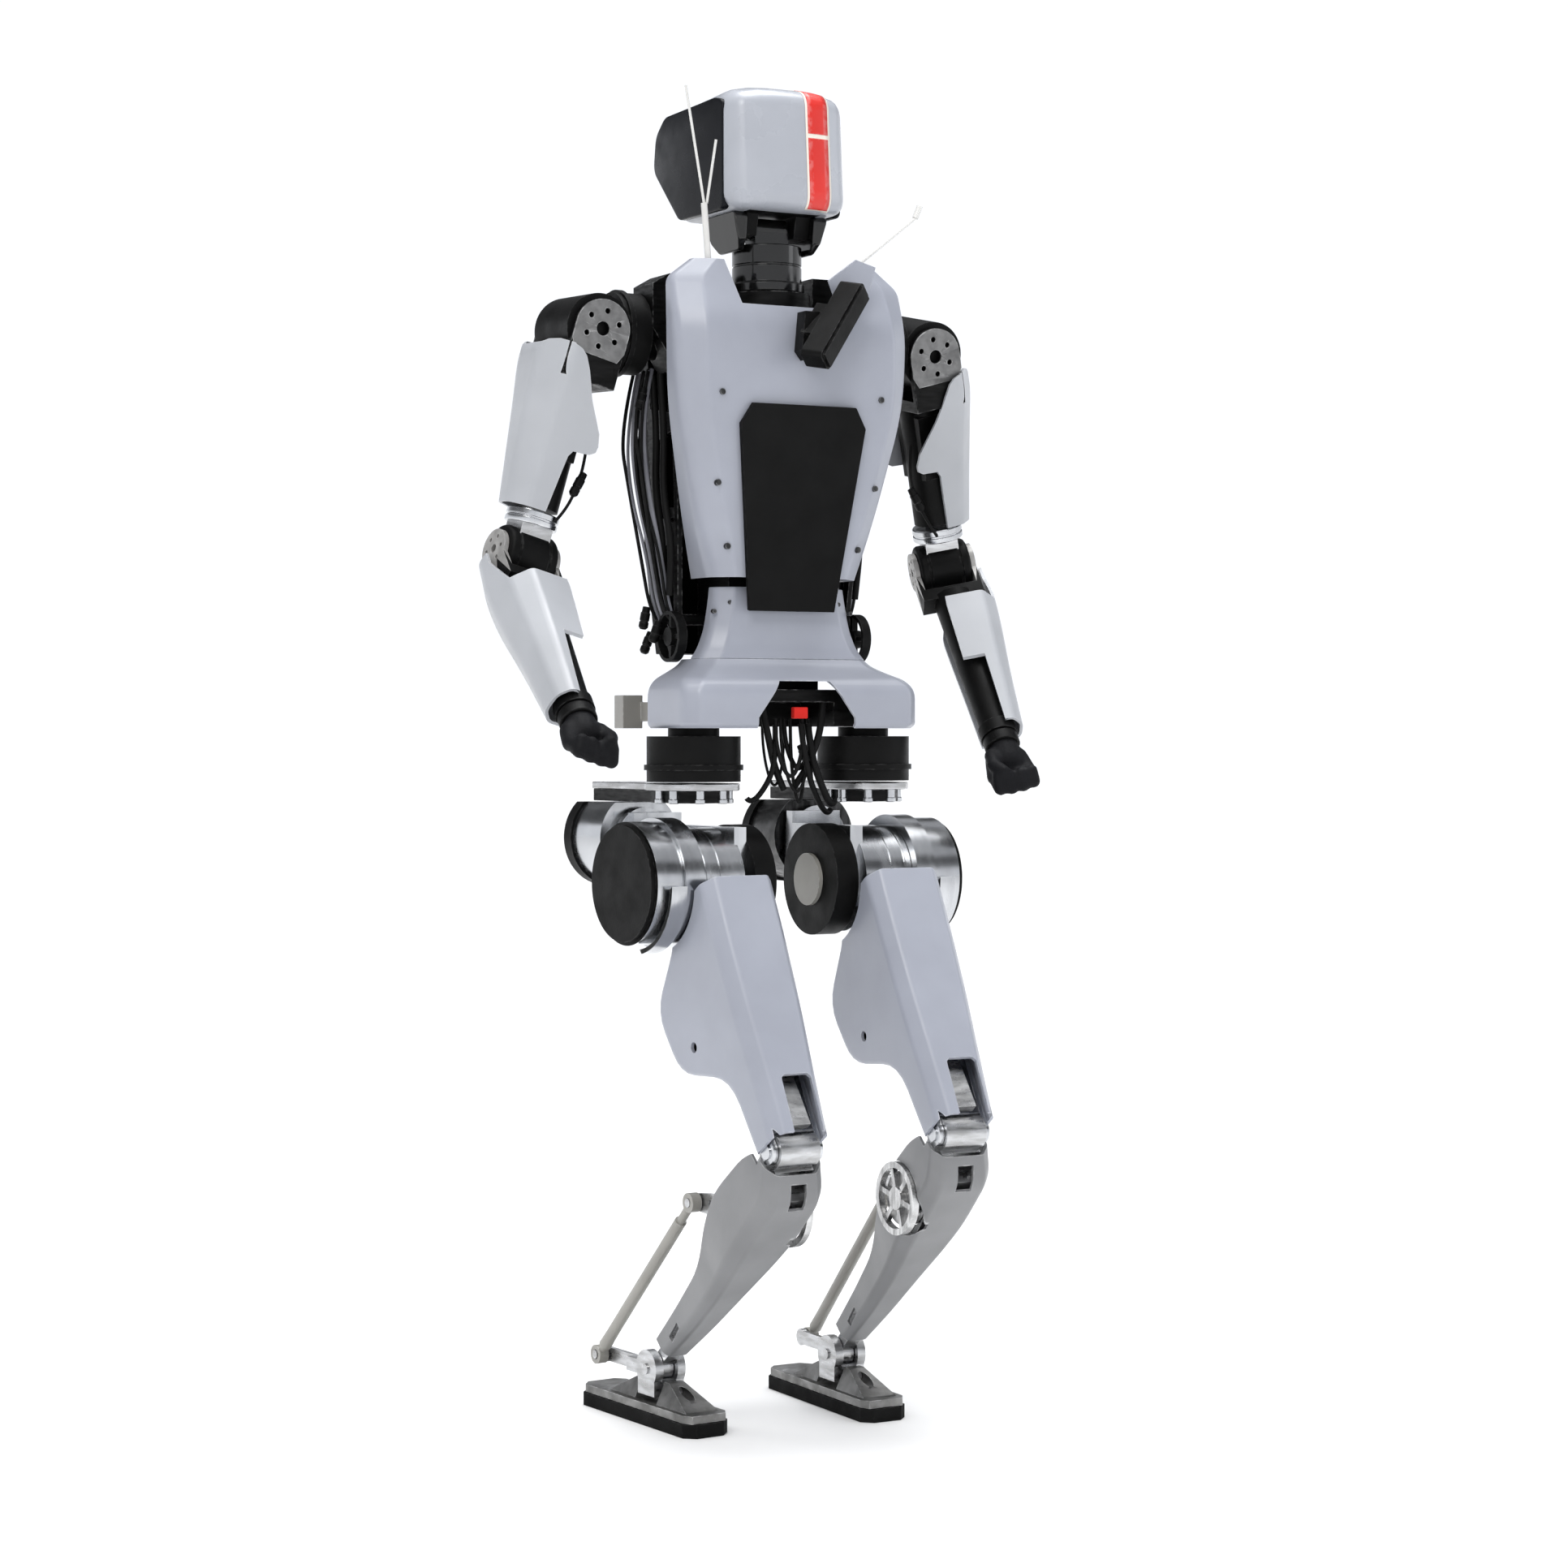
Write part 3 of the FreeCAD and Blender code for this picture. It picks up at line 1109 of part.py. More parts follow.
def ankle_cross(side):
    """Cross between shank and foot: cheeks, pin, roll trunnions and the heel lever."""
    cheeks = [drum("x", mirror(way, "9.6", "20"), ("0", "0"), "22") for way in (-1, 1)]
    skirts = [box(mirror(way, "9.6", "20"), ("-18", "18"), ("-30", "0")) for way in (-1, 1)]
    floor = box(("-20", "20"), ("-18", "18"), ("-30", "-16.4"))
    pin = drum("x", ("-22", "22"), ("0", "0"), "ankle_pin_radius")
    trunnion = drum("y", ("-38", "38"), ("0", "-22"), "6")
    lever = box(mirror(side, "4", "10"), ("30", "crank_arm"), ("-8", "8"))
    shin = box(mirror(side, "9.6", "20"), ("12", "44"), ("-8", "8"))
    link = box(mirror(side, "4", "20"), ("32", "44"), ("-8", "8"))
    boss = drum("x", mirror(side, "4", "10"), ("crank_arm", "0"), "10")
    stud = drum("x", mirror(side, "9", "crank_out + 7"), ("crank_arm", "0"), "5")
    slot = box(("-9.2", "9.2"), ("-15.6", "15.6"), ("-15.6", "26"))
    bulk = cut(fuse(floor, *(cheeks + skirts)), slot)
    return fuse(bulk, pin, trunnion, lever, shin, link, boss, stud)


def foot_plate(side):
    """Aluminium foot: flat plate, and front and rear ramps up to the roll bearings."""
    base = -size("ankle_height") + size("sole_thick") + 0.2
    top = base + size("foot_plate_thick")
    heel = size("heel_length")
    toe = heel - size("foot_length")
    half = size("foot_half") - 2
    plate = prism([(-half + 6, toe + 3), (half - 6, toe + 3), (half, toe + 14), (half, heel - 14),
                   (half - 10, heel - 3), (10 - half, heel - 3), (-half, heel - 14),
                   (-half, toe + 14)], "z", base, top)
    front = loft([[Vector(x, y, top - 1) for x, y in ((-22, -92), (22, -92), (22, -25), (-22, -25))],
                  [Vector(x, y, -12) for x, y in ((-10, -35), (10, -35), (10, -25), (-10, -25))]])
    rear = loft([[Vector(x, y, top - 1) for x, y in ((-20, 25), (20, 25), (20, 84), (-20, 84))],
                 [Vector(x, y, -13) for x, y in ((-9, 25), (9, 25), (9, 33), (-9, 33))]])
    bore = cylinder(Vector(0, -80, -22), Vector(0, 80, -22), 6.4)
    made = plate.fuse([front.cut(bore), rear.cut(bore)])
    return shaped(made)


def foot_sole(side):
    """Black rubber sole with round corners."""
    body = doc.addObject("PartDesign::Body", "FootSole")
    toe = "heel_length - foot_length"
    points = [("-foot_half + 12", toe), ("foot_half - 12", toe), ("foot_half", toe + " + 12"),
              ("foot_half", "heel_length - 12"), ("foot_half - 12", "heel_length"),
              ("-foot_half + 12", "heel_length"), ("-foot_half", "heel_length - 12"),
              ("-foot_half", toe + " + 12")]
    pad(body, outline(body, "XY_Plane", points, "SoleOutline"), "sole_thick")
    return body, Placement(Vector(0, 0, -size("ankle_height")), Rotation())


# ---------------------------------------------------------------- assembly
def build_torso():
    plain = {"torso_frame": torso_frame, "chest_cover": chest_cover,
             "waist_cover": waist_cover, "pelvis_tray": pelvis_tray, "back_cover": back_cover,
             "rear_module": rear_module, "depth_camera": depth_camera, "antennas": antennas,
             "cover_screws": cover_screws, "torso_cables": torso_cables,
             "cooling_fans": cooling_fans, "hip_yaw_drives": hip_yaw_drives}
    for name, maker in plain.items():
        piece(name, maker(), ROOT)
    body, place = belly_plate()
    body_piece("belly_plate", body, place)


def build_head():
    neck = Placement(SHIFT + Vector(0, size("neck_rear"), size("neck_base")), Rotation())
    head = Placement(SHIFT + Vector(0, size("neck_rear"), size("head_pitch_height")), Rotation())
    piece("neck_column", neck_column(), neck)
    piece("head_base", head_base(), head)
    piece("head_shell", head_shell(), head)
    piece("head_side_panels", head_side_panels(), head)
    piece("head_stripe", head_stripe(), head)


ARM_PIECES = (("shoulder_drive", shoulder_drive, "shoulder"),
              ("shoulder_yoke", shoulder_yoke, "upper_arm"),
              ("upper_arm_drive", upper_arm_drive, "upper_arm"),
              ("upper_arm_cover", upper_arm_cover, "upper_arm"),
              ("elbow_bracket", elbow_bracket, "elbow"),
              ("forearm_frame", forearm_frame, "forearm"),
              ("forearm_cover", forearm_cover, "forearm"), ("hand", hand, "hand"))
LEG_PIECES = (("hip_yaw_bracket", hip_yaw_bracket, "hip_yaw"),
              ("hip_roll_drive", hip_roll_drive, "hip_yaw"),
              ("hip_pitch_drive", hip_pitch_drive, "hip_roll"),
              ("thigh_drive_cap", thigh_drive_cap, "thigh"), ("thigh_cover", thigh_cover, "thigh"),
              ("thigh_frame", thigh_frame, "thigh"), ("shank_cover", shank_cover, "shank"),
              ("shank_frame", shank_frame, "shank"), ("ankle_crank", ankle_crank, "crank"),
              ("ankle_rod", ankle_rod, "rod"), ("ankle_cross", ankle_cross, "ankle"),
              ("foot_plate", foot_plate, "foot"), ("foot_sole", foot_sole, "foot"))


def build_limbs():
    for side in (-1, 1):
        for table, links in ((ARM_PIECES, arm_links(side)), (LEG_PIECES, leg_links(side))):
            for name, maker, link in table:
                label = NAMES[side] + "_" + name
                made = maker(side)
                if isinstance(made, tuple):
                    body_piece(label, made[0], links[link].multiply(made[1]))
                else:
                    piece(label, made, links[link])


def check_and_write():
    """Recompute, refuse anything broken, and write one file for each sub-part."""
    doc.recompute()
    for obj in doc.Objects:
        if "Invalid" in obj.State or "Error" in obj.State:
            raise SystemExit("%s (%s) failed: %s" % (obj.Name, obj.TypeId, obj.State))
    os.makedirs("parts", exist_ok=True)
    for made in PIECES:
        shape = made.Shape
        if shape.isNull() or not shape.isValid() or not shape.Solids:
            raise SystemExit("%s has no valid solid" % made.Label)
        shape.exportStep("parts/%s.step" % made.Label)
    whole = Part.makeCompound([made.Shape for made in PIECES])
    bounds = whole.BoundBox
    print("%d sub-parts; X %.1f..%.1f Y %.1f..%.1f Z %.1f..%.1f"
          % (len(PIECES), bounds.XMin, bounds.XMax, bounds.YMin, bounds.YMax,
             bounds.ZMin, bounds.ZMax))


build_torso()
build_head()
build_limbs()
check_and_write()
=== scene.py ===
import json
from math import atan2, cos, pi, radians, sin, tan
import random

import bmesh
import bpy
from mathutils import Matrix, Vector


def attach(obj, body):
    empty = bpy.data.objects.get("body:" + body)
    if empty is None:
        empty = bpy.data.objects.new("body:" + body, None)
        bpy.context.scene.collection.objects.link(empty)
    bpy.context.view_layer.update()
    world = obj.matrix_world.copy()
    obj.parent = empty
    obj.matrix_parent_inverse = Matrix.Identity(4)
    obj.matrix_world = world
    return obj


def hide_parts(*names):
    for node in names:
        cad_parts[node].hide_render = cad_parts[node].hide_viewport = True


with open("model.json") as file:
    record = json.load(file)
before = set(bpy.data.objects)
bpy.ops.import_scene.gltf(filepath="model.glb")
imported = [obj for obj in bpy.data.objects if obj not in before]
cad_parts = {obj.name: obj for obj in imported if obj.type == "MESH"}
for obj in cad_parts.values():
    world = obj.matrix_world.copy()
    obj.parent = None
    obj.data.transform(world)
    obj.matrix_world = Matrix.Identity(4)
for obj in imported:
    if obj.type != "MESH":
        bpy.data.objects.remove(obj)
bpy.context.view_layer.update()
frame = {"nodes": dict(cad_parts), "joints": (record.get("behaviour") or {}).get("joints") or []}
NODES = frame["nodes"]
JOINTS = {j["name"]: j for j in frame["joints"]}
MM = 0.001
SIDES = {"right": -1, "left": 1}
MERGE = 1e-6                      # metres; points closer than this are one
PIECE_ANGLE, NODE_ANGLE = 38, 32  # degrees; sharper edges than these are rounded
NODE_BEVEL = 0.9                  # the rest are millimetres in a link's own frame
BLEND_STEPS = 4
COVER_WALL, ARM_WALL, SHANK_WALL = 4, 3.5, 3.4
HEAD_HALF, HEAD_EDGE = 75, 17
HAND_TOP, GLOVE_VOXEL = -263.6, 2.6
YOKE_FACE, PLATE_THICK = 53.2, 1.8
YOKE_ROOM = 53.6
ELBOW_BAND = 34
random.seed(7)


# ------------------------------------------------------------------ camera
def make_camera():
    """Eye level with the hips, three-quarter from the robot's right."""
    forward = Vector((0.4695, 0.8829, 0.0))
    right = Vector((0.8829, -0.4695, 0.0))
    aim = forward + right * 0.00883 - Vector((0, 0, 0.0159))
    data = bpy.data.cameras.new("camera")
    data.lens = 75.3
    data.sensor_width = 36
    data.clip_end = 60
    camera = bpy.data.objects.new("camera", data)
    camera.location = (-1.7764, -3.282, 0.791)
    camera.rotation_mode = "QUATERNION"
    camera.rotation_quaternion = aim.to_track_quat("-Z", "Y")
    bpy.context.scene.collection.objects.link(camera)
    bpy.context.scene.camera = camera


make_camera()


# ------------------------------------------------------------------ materials
class Shader:
    """A Principled material with a few helpers for its procedural detail."""

    def __init__(self, name):
        self.material = bpy.data.materials.new(name)
        self.material.use_nodes = True
        self.tree = self.material.node_tree
        self.main = self.tree.nodes["Principled BSDF"]
        self.coordinates = self.tree.nodes.new("ShaderNodeTexCoord")

    def node(self, kind, **values):
        made = self.tree.nodes.new(kind)
        for key, value in values.items():
            setattr(made, key, value)
        return made

    def link(self, out, into):
        self.tree.links.new(out, into)

    def noise(self, scale, detail=4.0, stretch=None):
        made = self.node("ShaderNodeTexNoise")
        made.inputs["Scale"].default_value = scale
        made.inputs["Detail"].default_value = detail
        source = self.coordinates.outputs["Object"]
        if stretch:
            mapping = self.node("ShaderNodeMapping")
            mapping.inputs["Scale"].default_value = stretch
            self.link(source, mapping.inputs["Vector"])
            source = mapping.outputs["Vector"]
        self.link(source, made.inputs["Vector"])
        return made.outputs["Fac"]

    def ramp(self, source, low, high, first, second):
        made = self.node("ShaderNodeValToRGB")
        made.color_ramp.elements[0].position = low
        made.color_ramp.elements[1].position = high
        made.color_ramp.elements[0].color = first
        made.color_ramp.elements[1].color = second
        self.link(source, made.inputs["Fac"])
        return made.outputs["Color"]

    def spread(self, source, low, high):
        """A map of a 0 to 1 pattern into a range."""
        made = self.node("ShaderNodeMapRange")
        made.inputs["From Min"].default_value = 0.3
        made.inputs["From Max"].default_value = 0.7
        made.inputs["To Min"].default_value = low
        made.inputs["To Max"].default_value = high
        self.link(source, made.inputs["Value"])
        return made.outputs["Result"]

    def blend(self, factor, first, second):
        made = self.node("ShaderNodeMix", data_type="RGBA")
        self.link(factor, made.inputs["Factor"])
        for socket, value in ((made.inputs["A"], first), (made.inputs["B"], second)):
            if isinstance(value, tuple):
                socket.default_value = value
            else:
                self.link(value, socket)
        return made.outputs["Result"]

    def edges(self):
        """White where the surface turns a corner, broken up by a fine pattern."""
        geometry = self.node("ShaderNodeNewGeometry")
        softened = self.node("ShaderNodeBevel", samples=4)
        softened.inputs["Radius"].default_value = 0.0016
        dot = self.node("ShaderNodeVectorMath", operation="DOT_PRODUCT")
        self.link(geometry.outputs["Normal"], dot.inputs[0])
        self.link(softened.outputs["Normal"], dot.inputs[1])
        worn = self.ramp(dot.outputs["Value"], 0.93, 0.998, (1, 1, 1, 1), (0, 0, 0, 1))
        speck = self.ramp(self.noise(140, 6), 0.44, 0.6, (0, 0, 0, 1), (1, 1, 1, 1))
        both = self.node("ShaderNodeMath", operation="MULTIPLY")
        self.link(worn, both.inputs[0])
        self.link(speck, both.inputs[1])
        return both.outputs["Value"]

    def bump(self, source, strength, distance=0.0004):
        made = self.node("ShaderNodeBump")
        made.inputs["Strength"].default_value = strength
        made.inputs["Distance"].default_value = distance
        self.link(source, made.inputs["Height"])
        self.link(made.outputs["Normal"], self.main.inputs["Normal"])

    def set(self, **values):
        for key, value in values.items():
            self.main.inputs[key.replace("_", " ")].default_value = value


def grey(level, tint=(1, 1, 1)):
    return (level * tint[0], level * tint[1], level * tint[2], 1)


def painted(name, colour, rough=0.36, smudge=0.07, wear=0.35):
    """Satin moulded cover: faint cloudiness, fine orange peel and rubbed edges."""
    made = Shader(name)
    lighter = tuple(min(1, c * 1.05) for c in colour[:3]) + (1,)
    darker = tuple(c * (1 - smudge) for c in colour[:3]) + (1,)
    cloudy = made.ramp(made.noise(9, 5), 0.35, 0.68, darker, lighter)
    rubbed = made.edges()
    scale = made.node("ShaderNodeMath", operation="MULTIPLY")
    scale.inputs[1].default_value = wear
    made.link(rubbed, scale.inputs[0])
    made.link(made.blend(scale.outputs["Value"], cloudy, grey(0.86)),
        made.main.inputs["Base Color"])
    made.link(made.spread(made.noise(22, 6), rough - 0.07, rough + 0.09),
        made.main.inputs["Roughness"])
    made.bump(made.noise(900, 2), 0.12)
    made.set(Coat_Weight=0.25, Coat_Roughness=0.25, Specular_IOR_Level=0.5)
    return made.material


def metal(name, dark, light, rough, stretch, scale=30, wear=0.0, metallic=1.0):
    """Machined or cast metal: tool marks run along one way and the tone is streaky."""
    made = Shader(name)
    streaks = made.noise(scale, 7, stretch)
    colour = made.ramp(streaks, 0.38, 0.62, dark, light)
    if wear:
        rubbed = made.edges()
        scaled = made.node("ShaderNodeMath", operation="MULTIPLY")
        scaled.inputs[1].default_value = wear
        made.link(rubbed, scaled.inputs[0])
        colour = made.blend(scaled.outputs["Value"], colour, grey(0.85))
    made.link(colour, made.main.inputs["Base Color"])
    made.link(made.spread(made.noise(scale * 1.7, 5, stretch), rough * 0.7, rough * 1.5),
        made.main.inputs["Roughness"])
    made.bump(made.noise(scale * 9, 3, stretch), 0.18, 0.0002)
    made.set(Metallic=metallic, Specular_IOR_Level=0.25)
    return made.material


def plastic(name, colour, rough=0.45, grain=600, strength=0.25, wear=0.2, worn=0.1, shine=0.1):
    """Moulded plastic, rubber or dark paint with a fine grain and rubbed edges."""
    made = Shader(name)
    dusty = tuple(min(1, c * 1.6 + 0.0008) for c in colour[:3]) + (1,)
    body = made.ramp(made.noise(14, 6), 0.4, 0.75, colour, dusty)
    scaled = made.node("ShaderNodeMath", operation="MULTIPLY")
    scaled.inputs[1].default_value = wear
    made.link(made.edges(), scaled.inputs[0])
    made.link(made.blend(scaled.outputs["Value"], body, grey(worn)), made.main.inputs["Base Color"])
    made.link(made.spread(made.noise(35, 6), rough - 0.1, rough + 0.12),
        made.main.inputs["Roughness"])
    made.bump(made.noise(grain, 3), strength)
    made.set(Specular_IOR_Level=shine)
    return made.material


LILAC = (0.92, 0.965, 1.12)
COVER = painted("cover_paint", grey(0.345, LILAC))
ARM = painted("arm_paint", grey(0.4, (0.95, 0.98, 1.04)))
# The shank paint is the cover paint made darker and greyer: painted shade for the lower legs.
SHADED_SHANK = painted("shank_shaded_paint", grey(0.2, (0.99, 1.0, 1.03)), rough=0.4, smudge=0.16)
HEAD = painted("head_paint", grey(0.4, (0.93, 0.97, 1.07)), rough=0.3, smudge=0.03)
PLATE = plastic("belly_plate", grey(0.0028), rough=0.5, grain=1500, strength=0.1, wear=0.3,
    worn=0.05)
PANEL = plastic("head_panel", grey(0.006, (0.9, 0.98, 1.3)), rough=0.3, strength=0.05, wear=0.1)
BLACK = metal("black_anodised", grey(0.003), grey(0.008), 0.38, (1, 1, 6), wear=0.25, metallic=0.6)
MOTOR = plastic("motor_black", grey(0.0035), rough=0.45, grain=420, wear=0.35, worn=0.12)
BRIGHT = metal("bright_aluminium", grey(0.47, (0.98, 1, 1.04)), grey(0.62, (0.98, 1, 1.03)), 0.2,
    (5, 1, 1), scale=7, wear=0.3)
BRUSHED = metal("machined_aluminium", grey(0.38), grey(0.55, (0.99, 1, 1.02)), 0.3, (1, 1, 5),
    wear=0.4)
GREY = metal("hard_anodised", grey(0.15), grey(0.2), 0.45, (1, 1, 1), scale=90, wear=0.5,
    metallic=0.5)
STEEL = metal("steel", grey(0.32), grey(0.6), 0.28, (1, 5, 1), wear=0.5)
DARK_STEEL = metal("dark_steel", grey(0.03), grey(0.09), 0.35, (5, 1, 1), wear=0.3)
FOOT = metal("foot_aluminium", grey(0.16, (1, 0.99, 0.96)), grey(0.27, (1, 0.99, 0.97)), 0.38,
    (2, 2, 2),
    scale=18, wear=0.5)
ROD = painted("rod_paint", grey(0.34, (1.02, 0.99, 0.9)), rough=0.4, smudge=0.25)
RUBBER = plastic("sole_rubber", grey(0.006), rough=0.75, grain=260, strength=0.5, wear=0.5,
    worn=0.09)
GLOVE = plastic("glove", grey(0.006, (0.95, 0.97, 1.15)), rough=0.6, grain=340, strength=0.6,
    wear=0.2)
GLOSS = plastic("gloss_black", grey(0.004), rough=0.14, grain=200, strength=0.05, wear=0.3,
    worn=0.2, shine=0.5)
CABLE = plastic("cable_sheath", grey(0.005), rough=0.5, grain=500, wear=0.1)
GLASS = plastic("camera_glass", grey(0.002), rough=0.12, grain=100, strength=0.02, wear=0.1,
    shine=0.4)
PALE = metal("pale_anodised", grey(0.3, (1, 0.98, 0.95)), grey(0.4, (1, 0.98, 0.95)), 0.4,
    (1, 1, 1), scale=60, wear=0.3, metallic=0.4)
MODULE = painted("module_paint", grey(0.3, (1, 0.97, 0.9)), rough=0.45, smudge=0.12)
WIRE = plastic("pale_wire", grey(0.16, (0.97, 0.98, 1.1)), rough=0.5, grain=300, wear=0.1)
RED = plastic("red_plastic", (0.55, 0.02, 0.015, 1), rough=0.4, wear=0.1)
STRIPE = painted("stripe_film", (0.66, 0.018, 0.01, 1), rough=0.4, smudge=0.12, wear=0.1)
EDGE = painted("stripe_edge", (0.8, 0.74, 0.66, 1), rough=0.4, smudge=0.05, wear=0.0)
WHIP = painted("whip_sleeve", grey(0.66, (1.0, 0.99, 0.96)), rough=0.5)


# ------------------------------------------------------------------ light and floor
def make_stage():
    mesh = bpy.data.meshes.new("floor")
    made = bmesh.new()
    bmesh.ops.create_grid(made, x_segments=1, y_segments=1, size=200)
    made.to_mesh(mesh)
    made.free()
    floor = bpy.data.objects.new("floor", mesh)
    shader = Shader("floor")
    pale = shader.ramp(shader.noise(1.5, 3), 0.3, 0.7, grey(0.93), grey(0.96))
    shader.link(pale, shader.main.inputs["Base Color"])
    shader.set(Roughness=0.9, Specular_IOR_Level=0.0)
    mesh.materials.append(shader.material)
    bpy.context.scene.collection.objects.link(floor)


def area_light(name, place, target, size, power, colour=(1, 1, 1)):
    data = bpy.data.lights.new(name, "AREA")
    data.shape = "RECTANGLE"
    data.size, data.size_y = size
    data.energy = power
    data.color = colour
    lamp = bpy.data.objects.new(name, data)
    lamp.location = place
    lamp.rotation_mode = "QUATERNION"
    lamp.rotation_quaternion = (Vector(target) - Vector(place)).to_track_quat("-Z", "Y")
    bpy.context.scene.collection.objects.link(lamp)


def sun_light(strength):
    """Broad light from straight above, which keeps the floor pale out to the horizon."""
    data = bpy.data.lights.new("sky", "SUN")
    data.energy = strength
    data.angle = radians(60)
    lamp = bpy.data.objects.new("sky", data)
    lamp.location = (0, 0, 5)
    bpy.context.scene.collection.objects.link(lamp)


def make_world():
    """Pale surroundings with a darker band above the horizon for metal to reflect."""
    world = bpy.data.worlds.new("studio")
    bpy.context.scene.world = world
    world.use_nodes = True
    tree = world.node_tree
    background = tree.nodes["Background"]
    coordinates = tree.nodes.new("ShaderNodeTexCoord")
    split = tree.nodes.new("ShaderNodeSeparateXYZ")
    ramp = tree.nodes.new("ShaderNodeValToRGB")
    stops = [(0.0, 1.0), (0.24, 1.0), (0.3, 0.1), (0.52, 0.05), (0.62, 0.45), (1.0, 0.55)]
    while len(ramp.color_ramp.elements) < len(stops):
        ramp.color_ramp.elements.new(0.5)
    for element, (place, level) in zip(ramp.color_ramp.elements, stops):
        element.position = place
        element.color = grey(level, (0.97, 0.99, 1.03))
    tree.links.new(coordinates.outputs["Generated"], split.inputs["Vector"])
    tree.links.new(split.outputs["Z"], ramp.inputs["Fac"])
    tree.links.new(ramp.outputs["Color"], background.inputs["Color"])
    background.inputs["Strength"].default_value = 1.05


make_stage()
make_world()
area_light("key", (-2.4, -2.4, 3.6), (0, 0, 1.0), (2.0, 1.4), 62, (1.0, 0.99, 0.97))
area_light("top", (0.4, 0.2, 4.0), (0, 0, 0.6), (1.8, 1.8), 46, (0.96, 0.98, 1.0))
area_light("side", (2.8, -1.6, 1.9), (0, 0, 0.8), (1.0, 2.0), 10, (0.95, 0.97, 1.0))
sun_light(2.3)
bpy.context.scene.view_settings.view_transform = "Standard"


# ------------------------------------------------------------------ link frames
def spot(name):
    return Vector(JOINTS[name]["pos_m"])


def across(name, letter):
    """A joint's axis, turned so that it points along +X or +Y."""
    axis = Vector(JOINTS[name]["axis"])
    return axis if getattr(axis, letter) > 0 else -axis


def axes(origin, x, z):
    """The matrix of a link from its origin, its X and its Z."""
    y = z.cross(x).normalized()
    x = y.cross(z).normalized()
    turn = Matrix((x, y, z)).transposed().to_4x4()
    return Matrix.Translation(origin) @ turn


UP = Vector((0, 0, 1))
MIDDLE = (spot("right_hip_yaw_turn") + spot("left_hip_yaw_turn")) / 2
ROOT = Matrix.Translation(Vector((MIDDLE.x, MIDDLE.y, 0)))
LINKS = {"torso": ROOT, "neck": Matrix.Translation(spot("neck_yaw")),
    "head": Matrix.Translation(spot("head_pitch"))}
for word in SIDES:
    hip, knee = spot(word + "_hip_pitch_turn"), spot(word + "_knee_bend")
    ankle = spot(word + "_ankle_pitch")
    side_axis = across(word + "_knee_bend", "x")
    LINKS[word + "_hip_yaw"] = axes(hip, side_axis, UP)
    LINKS[word + "_hip_roll"] = axes(hip, side_axis, UP)
    LINKS[word + "_thigh"] = axes(hip, side_axis, (hip - knee).normalized())
    LINKS[word + "_shank"] = axes(knee, side_axis, (knee - ankle).normalized())
    LINKS[word + "_foot"] = axes(ankle, side_axis, UP)
    shoulder, elbow = spot(word + "_shoulder_pitch"), spot(word + "_elbow_bend")
    wrist = spot(word + "_wrist_turn")
    arm_up = (shoulder - elbow).normalized()
    LINKS[word + "_upper_arm"] = axes(shoulder, across(word + "_shoulder_roll", "y").cross(arm_up),
        arm_up)
    LINKS[word + "_elbow"] = axes(elbow, across(word + "_elbow_bend", "x"), arm_up)
    fore_up = (elbow - wrist).normalized()
    LINKS[word + "_forearm"] = axes(elbow, across(word + "_elbow_bend", "x"), fore_up)
    LINKS[word + "_wrist"] = LINKS[word + "_forearm"]


# ------------------------------------------------------------------ mesh helpers
def add_object(name, mesh):
    made = bpy.data.objects.new(name, mesh)
    bpy.context.scene.collection.objects.link(made)
    return made


def mesh_from(name, points, faces):
    mesh = bpy.data.meshes.new(name)
    mesh.from_pydata([tuple(p) for p in points], [], faces)
    mesh.update()
    return mesh


def tidy(obj):
    """Merge doubled points, drop empty faces and turn the faces outwards."""
    made = bmesh.new()
    made.from_mesh(obj.data)
    bmesh.ops.remove_doubles(made, verts=made.verts, dist=MERGE)
    bmesh.ops.dissolve_degenerate(made, edges=made.edges, dist=MERGE)
    bmesh.ops.recalc_face_normals(made, faces=made.faces)
    made.to_mesh(obj.data)
    made.free()
    return obj


def modifier(obj, kind, name, **values):
    made = obj.modifiers.new(name, kind)
    for key, value in values.items():
        setattr(made, key, value)
    return made


def settle(obj):
    """Turn an object's modifiers into its mesh."""
    bpy.context.view_layer.update()
    graph = bpy.context.evaluated_depsgraph_get()
    mesh = bpy.data.meshes.new_from_object(obj.evaluated_get(graph))
    obj.modifiers.clear()
    obj.data = mesh
    return obj


def carve(obj, *cutters, operation="DIFFERENCE"):
    """Cut solids out of an object, or join them to it, and drop the tools."""
    for index, tool in enumerate(cutters):
        modifier(obj, "BOOLEAN", "cut%d" % index, object=tool, operation=operation, solver="EXACT")
    settle(obj)
    for tool in cutters:
        bpy.data.objects.remove(tool)
    return obj


def rounded(points, radius, steps=4):
    """An outline with each corner replaced by a short arc; radius may be a list."""
    made = []
    count = len(points)
    for index, here in enumerate(points):
        before, after = points[index - 1], points[(index + 1) % count]
        size = radius[index] if isinstance(radius, (list, tuple)) else radius
        into, out = here - before, after - here
        turn = into.angle(out, 0.0)
        reach = min(size * tan(turn / 2), 0.46 * into.length, 0.46 * out.length)
        first = here - into.normalized() * reach
        last = here + out.normalized() * reach
        for step in range(steps + 1):
            t = step / steps
            made.append(first * (1 - t) ** 2 + here * 2 * t * (1 - t) + last * t * t)
    return made


